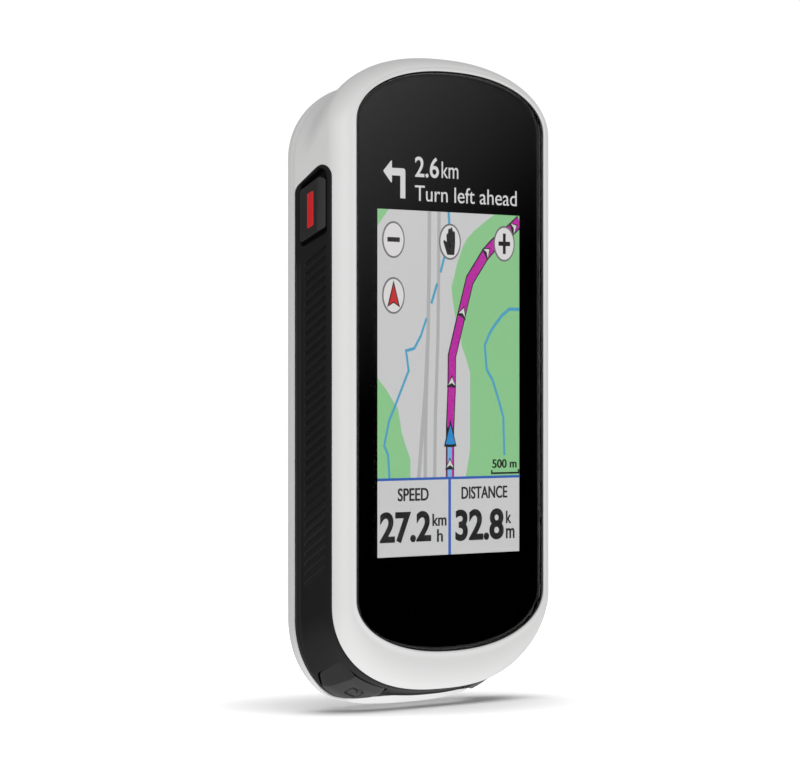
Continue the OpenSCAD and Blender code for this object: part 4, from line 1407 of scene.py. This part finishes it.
def draw_picture():
    """The map page: header, map, controls, scale bar and two data fields."""
    x, top, low = PICTURE_X, PICTURE_TOP, PICTURE_LOW
    rule_z = -14.75
    show("picture_land", [flat_shape([(-x, low), (x, low), (x, top), (-x, top)], 0)], "land")
    show("picture_park", [
        flat_shape([(-x, 25.7), (-16.4, top), (-x, top)], 1),
        flat_shape([(-x, rule_z), (-10.6, rule_z), (-10.6, -11.6), (-11.9, -9.3), (-12.9, -7.4),
                    (-13.5, -5.0), (-14.0, -3.3), (-15.3, -2.1), (-16.1, -1.3), (-17.1, -0.3),
                    (-x, 1.6)], 1),
        flat_shape([(4.4, rule_z), (5.1, -12.2), (5.65, -9.9), (5.65, 2.4), (4.6, 4.6), (3.3, 6.9),
                    (3.0, 8.8), (2.9, 10.6), (1.7, 11.0), (1.0, 13.6), (0.45, 16.3), (1.3, 18.2),
                    (1.9, 20.0), (2.7, 21.4), (3.6, 23.0), (4.7, 24.3), (6.9, 25.8), (9.2, 27.0),
                    (10.8, 27.8), (12.4, top), (x, top), (x, rule_z)], 1)], "park")
    show("picture_road", [
        stroke([(-5.5, top), (-5.6, 19.0), (-5.9, 8.2), (-6.6, -0.5), (-7.6, -8.1),
                (-8.4, rule_z)], 0.95, 2),
        stroke([(-5.9, 8.2), (-6.35, -0.5), (-6.6, -8), (-6.65, rule_z)], 0.9, 2.4),
        stroke([(-2.9, top), (-3.0, 19.1), (-3.2, 8.2), (-3.9, -4.8), (-4.1, rule_z)], 0.85, 2)],
         "road")
    show("picture_water", [
        stroke([(-0.3, top), (-0.1, 26.4)], 0.62, 3),
        stroke([(-1.3, 21.6), (-2.5, 18.7)], 0.55, 3),
        stroke([(-3.4, 16.9), (-5.0, 13.6)], 0.55, 3),
        stroke([(-6.3, 11.2), (-7.8, 8.4), (-9.6, 6.3), (-11.8, 5.9), (-11.1, 2.7), (-12.9, -0.1),
                (-14.6, -2.8), (-16.3, -5.3), (-17.6, -9.3), (-16.6, -10.8), (-16.2, rule_z)], 0.5,
               3),
        stroke([(x, 13.0), (16.6, 13.0), (14.5, 11.9), (12.6, 10.4), (11.1, 9.0), (9.7, 7.0),
                (10.2, 3.0), (11.9, 1.2), (13.6, -2.1), (14.9, -4.9), (15.2, -11.2)], 0.55, 3)],
         "water")
    route = [(x + 0.4, 27.6), (16.98, 26.1), (14.6, 24.9), (11.8, 23.3), (9.8, 21.9), (5.5, 17.6),
             (3.7, 13.1), (2.0, 8.7), (0.6, 5.1), (0.5, -0.5), (0.1, -6.5)]
    tail = [(0.1, -9.0), (0.05, rule_z)]
    clipped = [(min(px, x), pz) for px, pz in route]
    show("route_edge", [stroke(clipped, 2.25, 4), stroke([(0.1, -6), (0.05, rule_z)], 2.2, 4)],
         "dark")
    show("route_line", [stroke(clipped, 1.75, 5), stroke(tail, 1.75, 5)], "route")
    show("route_done", [stroke([(-0.02, -9.0), (-0.02, rule_z)], 1.05, 6)], "done")
    chevrons, shades = [], []
    for at, way in CHEVRONS:
        at, d = np.array(at), unit(np.array(way, float))
        n = np.array([-d[1], d[0]])
        tip, back = at + 0.75 * d, at - 0.55 * d
        chevrons.append(flat_shape([back + 0.95 * n, tip, back - 0.95 * n, at - 0.15 * d], 7))
        shades.append(flat_shape([back + 1.25 * n - 0.35 * d, tip + 0.4 * d,
                                  back - 1.25 * n - 0.35 * d, at - 0.85 * d], 6.5))
    show("chevron_shade", shades, "dark")
    show("chevron_light", chevrons, "light")
    show("pointer_edge", [flat_shape([(0.1, -5.2), (-1.55, -9.6), (0.1, -9.75), (1.8, -9.6)],
                                     7.2)], "dark")
    show("pointer", [flat_shape([(0.1, -6.1), (-1.2, -9.2), (0.1, -9.3), (1.45, -9.2)], 7.8)],
         "pointer")

    # Round controls
    discs, rims = [], []
    for cx, cz in ((-15.2, 23.7), (0.02, 23.74), (15.09, 23.79), (-15.2, 14.75)):
        discs.append(flat_shape(circle(2.85, cx, cz, 56), 7.4))
        rims.append(stroke(circle(2.8, cx, cz, 56), 0.3, 7.8, close=True))
    show("control_disc", discs, "button")
    show("control_rim", rims, "rim")
    hand = rounded([(-0.75, 21.6), (1.15, 21.6), (1.4, 23.6), (1.35, 25.3), (0.95, 25.6),
                    (0.75, 25.3), (0.65, 25.95), (0.25, 26.15), (0.05, 25.75), (-0.15, 25.95),
                    (-0.5, 25.75), (-0.55, 25.0), (-0.85, 25.1), (-1.0, 24.7), (-0.85, 23.6),
                    (-1.55, 24.05), (-1.85, 23.75), (-1.3, 22.6)], 0.12, 3)
    show("control_signs", [
        flat_shape(rectangle(3.3, 0.75, -15.2, 23.72), 8.4),
        flat_shape(rectangle(3.24, 0.72, 15.09, 23.79), 8.4),
        flat_shape(rectangle(0.78, 3.4, 15.09, 23.79), 8.6),
        flat_shape(hand, 8.4),
        stroke([(11.6, -13.6), (11.6, -14.15), (19.15, -14.15), (19.15, -13.6)], 0.3, 8.4)],
         "black")
    show("needle_edge", [flat_shape([(-15.2, 17.2), (-13.5, 12.85), (-15.2, 13.55),
                                     (-16.9, 12.85)], 8.4)],
         "needle_edge")
    show("needle", [flat_shape([(-15.2, 16.5), (-13.95, 13.2), (-15.2, 13.8), (-16.45, 13.2)], 9)],
         "needle")
    show("rules", [flat_shape(rectangle(2 * x, 0.42, 0, rule_z), 9),
                   flat_shape(rectangle(0.6, rule_z - low, -0.06, (rule_z + low) / 2), 9.2)],
         "rule")

    # Lettering: generic words and figures only
    show("picture_words", [
        text_mesh("SPEED", 8, -14.0, -5.8, -18.3, -16.2, 0.012),
        text_mesh("DISTANCE", 8, 3.25, 15.96, -18.25, -16.22, 0.012),
        text_mesh("27.2", 8, -18.76, -5.13, -25.0, -19.95, 0.03),
        text_mesh("km", 8, -4.7, -0.96, -22.46, -20.47, 0.01),
        text_mesh("h", 8, -3.46, -1.93, -25.06, -23.0, 0.01),
        text_mesh("32.8", 8, 1.56, 14.95, -25.1, -19.95, 0.03),
        text_mesh("k", 8, 15.67, 17.1, -22.5, -20.4, 0.01),
        text_mesh("m", 8, 15.67, 18.0, -25.0, -23.3, 0.01),
        text_mesh("500 m", 8, 11.8, 18.6, -13.3, -11.85, 0.015)], "black")
    arrow = rounded([(-17.96, 34.62), (-15.66, 32.67), (-15.66, 34.0), (-13.4, 34.0),
                     (-13.4, 30.4), (-12.1, 30.4), (-12.1, 35.2), (-15.66, 35.2), (-15.66, 36.51)],
                    [0.15, 0.15, 0.02, 0.1, 0.05, 0.05, 0.5, 0.02, 0.15], 4)
    show("header_words", [
        flat_shape(arrow, 9),
        text_mesh("2.6", 9, -9.5, -3.05, 33.95, 37.3, 0.012),
        text_mesh("km", 9, -2.3, 2.26, 34.05, 36.72, 0.0),
        text_mesh("Turn left ahead", 9, -9.5, 18.6, 30.1, 32.65, 0.0)], "light")


front = piece("front_shell", join_builds(front_shell(), inner_frame()), WHITE,
              replaces=("front_case",))
rear = piece("rear_shell", rear_shell(), WHITE, replaces=("rear_case",))
piece("grip_band", band_mesh(), BAND, replaces=("side_band",))
piece("key_membrane", join_builds(power_membrane(), corner_membrane(),
                                  mirrored(corner_membrane())), BAND)
piece("power_key", power_key(), KEY, "power_key", ("power_button",), sharp=30)
piece("power_stripe", power_mark(), RED, "power_key", ("power_mark",), sharp=30)
piece("lap_key", corner_key(LAP_ICON), corner_material_painted_shade("lap_black", -1), "lap_key",
      ("lap_button",), sharp=30)
piece("start_key", mirrored(corner_key(START_ICON)), corner_material_painted_shade("start_black", 1),
      "start_key",
      ("start_button",), sharp=30)
hub, screw_spots = hub_mesh()
screws = [torx_screw(x, z, BACK_Y + 1.12, 1.38, 0.4) for x, z in screw_spots]
piece("quarter_turn_hub", hub, HUB, replaces=("mount_hub",), sharp=35)
piece("hub_screws", join_builds(*screws), STEEL, replaces=("mount_screws",), sharp=35)
PAD_PITCH = 2.6
PAD = [(0.4, 1.8), (0.85, 1.8), (0.85, 0.36), (0.82, 0.29), (0.74, 0.25), (0.5, 0.235),
       (0.2, 0.23)]
piece("contact_pads", join_builds(*[
    lathe([(r, HUB_Y - deep) for r, deep in PAD], (i - 2) * PAD_PITCH, HUB_Z) for i in range(5)]),
      GOLD, replaces=("power_contacts",))
piece("port_cap", cap_mesh(), RUBBER, "weather_cap", ("usb_cap",), sharp=35)
piece("port_cap_anchor", anchor_mesh(), RUBBER, replaces=("cap_anchor",), sharp=35)
pane = piece("glass_pane", glass_pane(), glass_material(),
             replaces=("cover_glass",), sharp=60)
pane.visible_shadow = False
piece("glass_print", mask_plate(), INK, sharp=30)
piece("gap_shade_bead", gap_shade_bead(), GAP_SHADE, sharp=50)
draw_picture()

# ---- inner parts -------------------------------------------------------------------------
# The solids inside the case stay as the CAD has them, each in its own finish.

INSIDE = {
    "black_rubber": material("black_rubber", (0.018, 0.018, 0.019), 0.62, spread=0.25, patch=350,
                             grain=4200, bump=0.35,
                             specular=0.3),
    "sensor_film": material("sensor_film", (0.30, 0.33, 0.36), 0.16, spread=0.05, patch=120,
                            bump=0.03, coat=0.5),
    "display_panel": material("panel_glass", (0.035, 0.038, 0.045), 0.14, spread=0.10, patch=80,
                              bump=0.02, coat=0.4),
    "light_guide": material("light_guide", (0.78, 0.79, 0.80), 0.34, spread=0.03, patch=150,
                            grain=2600, bump=0.12),
    "flex_film": material("flex_film", (0.42, 0.17, 0.025), 0.28, spread=0.14, patch=260,
                          bump=0.08, coat=0.3,
                          stretch=(1, 1, 4)),
    "alloy": material("cast_alloy", (0.40, 0.40, 0.41), 0.48, spread=0.10, patch=220, grain=3600,
                      bump=0.4, metallic=1.0),
    "steel": material("plate_steel", (0.55, 0.55, 0.56), 0.30, spread=0.07, patch=500, grain=5000,
                      bump=0.1, metallic=1.0,
                      stretch=(1, 6, 1)),
    "circuit_board": material("solder_mask", (0.012, 0.085, 0.035), 0.33, spread=0.22, patch=900,
                              grain=3000, bump=0.2,
                              coat=0.35),
    "connector_plastic": material("connector_plastic", (0.62, 0.55, 0.42), 0.42, spread=0.06,
                                  patch=300, bump=0.12),
    "antenna_ceramic": material("antenna_ceramic", (0.50, 0.38, 0.24), 0.46, spread=0.10,
                                patch=420, grain=4200, bump=0.3),
    "lead": material("lead_sleeve", (0.45, 0.012, 0.014), 0.40, spread=0.12, patch=500, bump=0.12),
    "soft_band": BAND, "key_black": KEY, "contact_metal": GOLD, "hub_plastic": HUB,
    "white_plastic": WHITE, "red_mark": RED, "cover_glass": INK,
}

for row in frame["record"]["subparts"]:
    node = frame["nodes"][row["node"]]
    finish = INSIDE.get(row["material_slot"])
    if finish is None:
        raise ValueError("no finish for " + row["node"])
    for k in range(len(node.material_slots)):
        node.material_slots[k].material = finish
    if not node.material_slots:
        node.data.materials.append(finish)

# ---- camera, light and floor -------------------------------------------------------------

def link(o, place=(0, 0, 0)):
    o.location = place
    bpy.context.scene.collection.objects.link(o)
    return o


VIEW_TURN = math.radians(-52.88)        # the camera looks level, turned from +Y
camera_data = bpy.data.cameras.new("camera")
camera_data.lens, camera_data.sensor_width = 203.9, 36.0
camera_data.shift_y = -0.00125
camera_data.clip_start, camera_data.clip_end = 0.01, 50
camera = link(bpy.data.objects.new("camera", camera_data), (-0.5935, -0.4599, -0.0089))
camera.rotation_euler = (math.pi / 2, 0, VIEW_TURN)
bpy.context.scene.camera = camera
bpy.context.scene.view_settings.view_transform = "Standard"

SIDE_LEVEL, TOP_LEVEL, BACK_FACTOR, FRONT_FACTOR = 1.03, 0.62, 0.62, 1.06
BEHIND_FACTOR, GLASS_GLOW, SEEN_LEVEL = 0.2, 0.33, 1.06
MIRROR = (0.7974, -0.6035)      # where the camera looks to in the glass, as (x, y)


def studio():
    """White sweep for the eye; for the light a dim top, bright front and a dark flag
    where the glass mirrors, which opens softly up and to the left."""
    world = bpy.data.worlds.new("studio")
    bpy.context.scene.world = world
    world.use_nodes = True
    sky = Nodes(world.node_tree)
    where = sky.where("Generated")

    def along(*axis):
        return sky.vector("DOT_PRODUCT", where, axis)

    def times(a, b):
        return sky.math("MULTIPLY", a, b)

    light = times(sky.soft(along(0, 0, 1), -0.1, 0.75, SIDE_LEVEL, TOP_LEVEL),
                  sky.ramp(along(-0.88, -0.47, 0), -0.9, 0.9, BACK_FACTOR, FRONT_FACTOR))
    # dark behind the left side, where the band mirrors
    light = times(light, sky.soft(along(-0.797, 0.6035, -0.1), 0.72, 0.97, 1.0, BEHIND_FACTOR))
    # the dark flag, with the soft glow that opens above it
    lift = along(MIRROR[1], -MIRROR[0], 1.0)
    glow = times(sky.math("POWER", sky.ramp(lift, 0.0, 0.074, 0.0, 1.0), 1.55), GLASS_GLOW)
    glow = sky.math("ADD", glow, sky.soft(lift, 0.12, 0.5, 0.0, 0.5))
    flag = sky.soft(along(*MIRROR, 0.0), 0.90, 0.975, 0.0, 1.0)
    light = sky.math("ADD", times(light, sky.math("SUBTRACT", 1.0, flag)), times(glow, flag))
    camera_ray = sky.new("LightPath", {}, "Is Camera Ray")
    seen = sky.math("MAXIMUM", times(camera_ray, SEEN_LEVEL),
                    times(light, sky.math("SUBTRACT", 1.0, camera_ray)))
    sky.set(sky.nodes["Background"], {"Color": (1, 1, 1, 1), "Strength": seen})


studio()

FLOOR_Z, FLOOR_RADII = -51.95, (8, 30, 70, 140, 220, 330)


def floor_material():
    """White sweep: paper lit by the sweep box, with its real shadow, and a painted shadow: its own
    glow is dim near the object and brighter further out.
    """
    m = material("floor", (0.6, 0.6, 0.6), 0.9, spread=0.01, bump=0.0, specular=0.1)
    net = Nodes(m.node_tree)
    flat = net.new("Mapping", {"Vector": net.where(), "Scale": (0.8, 1.0, 1.0)}, "Vector")
    centre = (0.0, -0.009, (FLOOR_Z - HUB_Z) * 0.001)
    away = net.vector("DISTANCE", flat, centre)
    # painted shadow: the glow is lowest round the object's footprint and lifts the paper to white
    # further out
    glow = net.math("ADD", net.soft(away, 0.008, 0.045, 0.0, 0.45),
                    net.soft(away, 0.02, 0.08, 0.0, 0.27))
    net.set(net.nodes["Principled BSDF"], {"Emission Color": (1, 1, 1, 1),
                                           "Emission Strength": glow})
    return m


def make_floor():
    b = Build()
    index = b.rows([np.insert(circle(r, 0, HUB_Y, 96), 2, FLOOR_Z, axis=1) for r in FLOOR_RADII])
    b.cap(index[0])
    me = bpy.data.meshes.new("floor")
    me.from_pydata([tuple(p) for p in metres(b.all())], [], b.faces)
    me.materials.append(floor_material())
    floor = link(bpy.data.objects.new("floor", me))
    floor.visible_glossy = floor.visible_transmission = floor.visible_diffuse = False
    return floor


def linked(name, objects):
    group = bpy.data.collections.new(name)
    for o in objects:
        group.objects.link(o)
    return group


def softbox(name, place, aim, width, height, watts):
    data = bpy.data.lights.new(name, "AREA")
    data.shape = "RECTANGLE"
    data.size, data.size_y, data.energy = width, height, watts
    o = link(bpy.data.objects.new(name, data), place)
    o.rotation_euler = (Vector(aim) - Vector(place)).to_track_quat("-Z", "Y").to_euler()
    return o.light_linking


# Three boxes: a soft one in front, one over the sweep, and one that lights the shells from below
softbox("front_box", (-0.60, -1.20, 0.25), (0, 0, -0.01), 0.9, 0.7, 1.5)
over = softbox("sweep_box", (-0.04, -0.03, 0.64), (0, 0, -0.06), 0.8, 0.8, 7.0)
over.receiver_collection = linked("lit_sweep", [make_floor()])
under = softbox("table_box", (0.10, -0.01, -0.30), (0, 0, -0.02), 0.45, 0.45, 0.32)
under.receiver_collection = under.blocker_collection = linked("lit_shells", [front, rear])
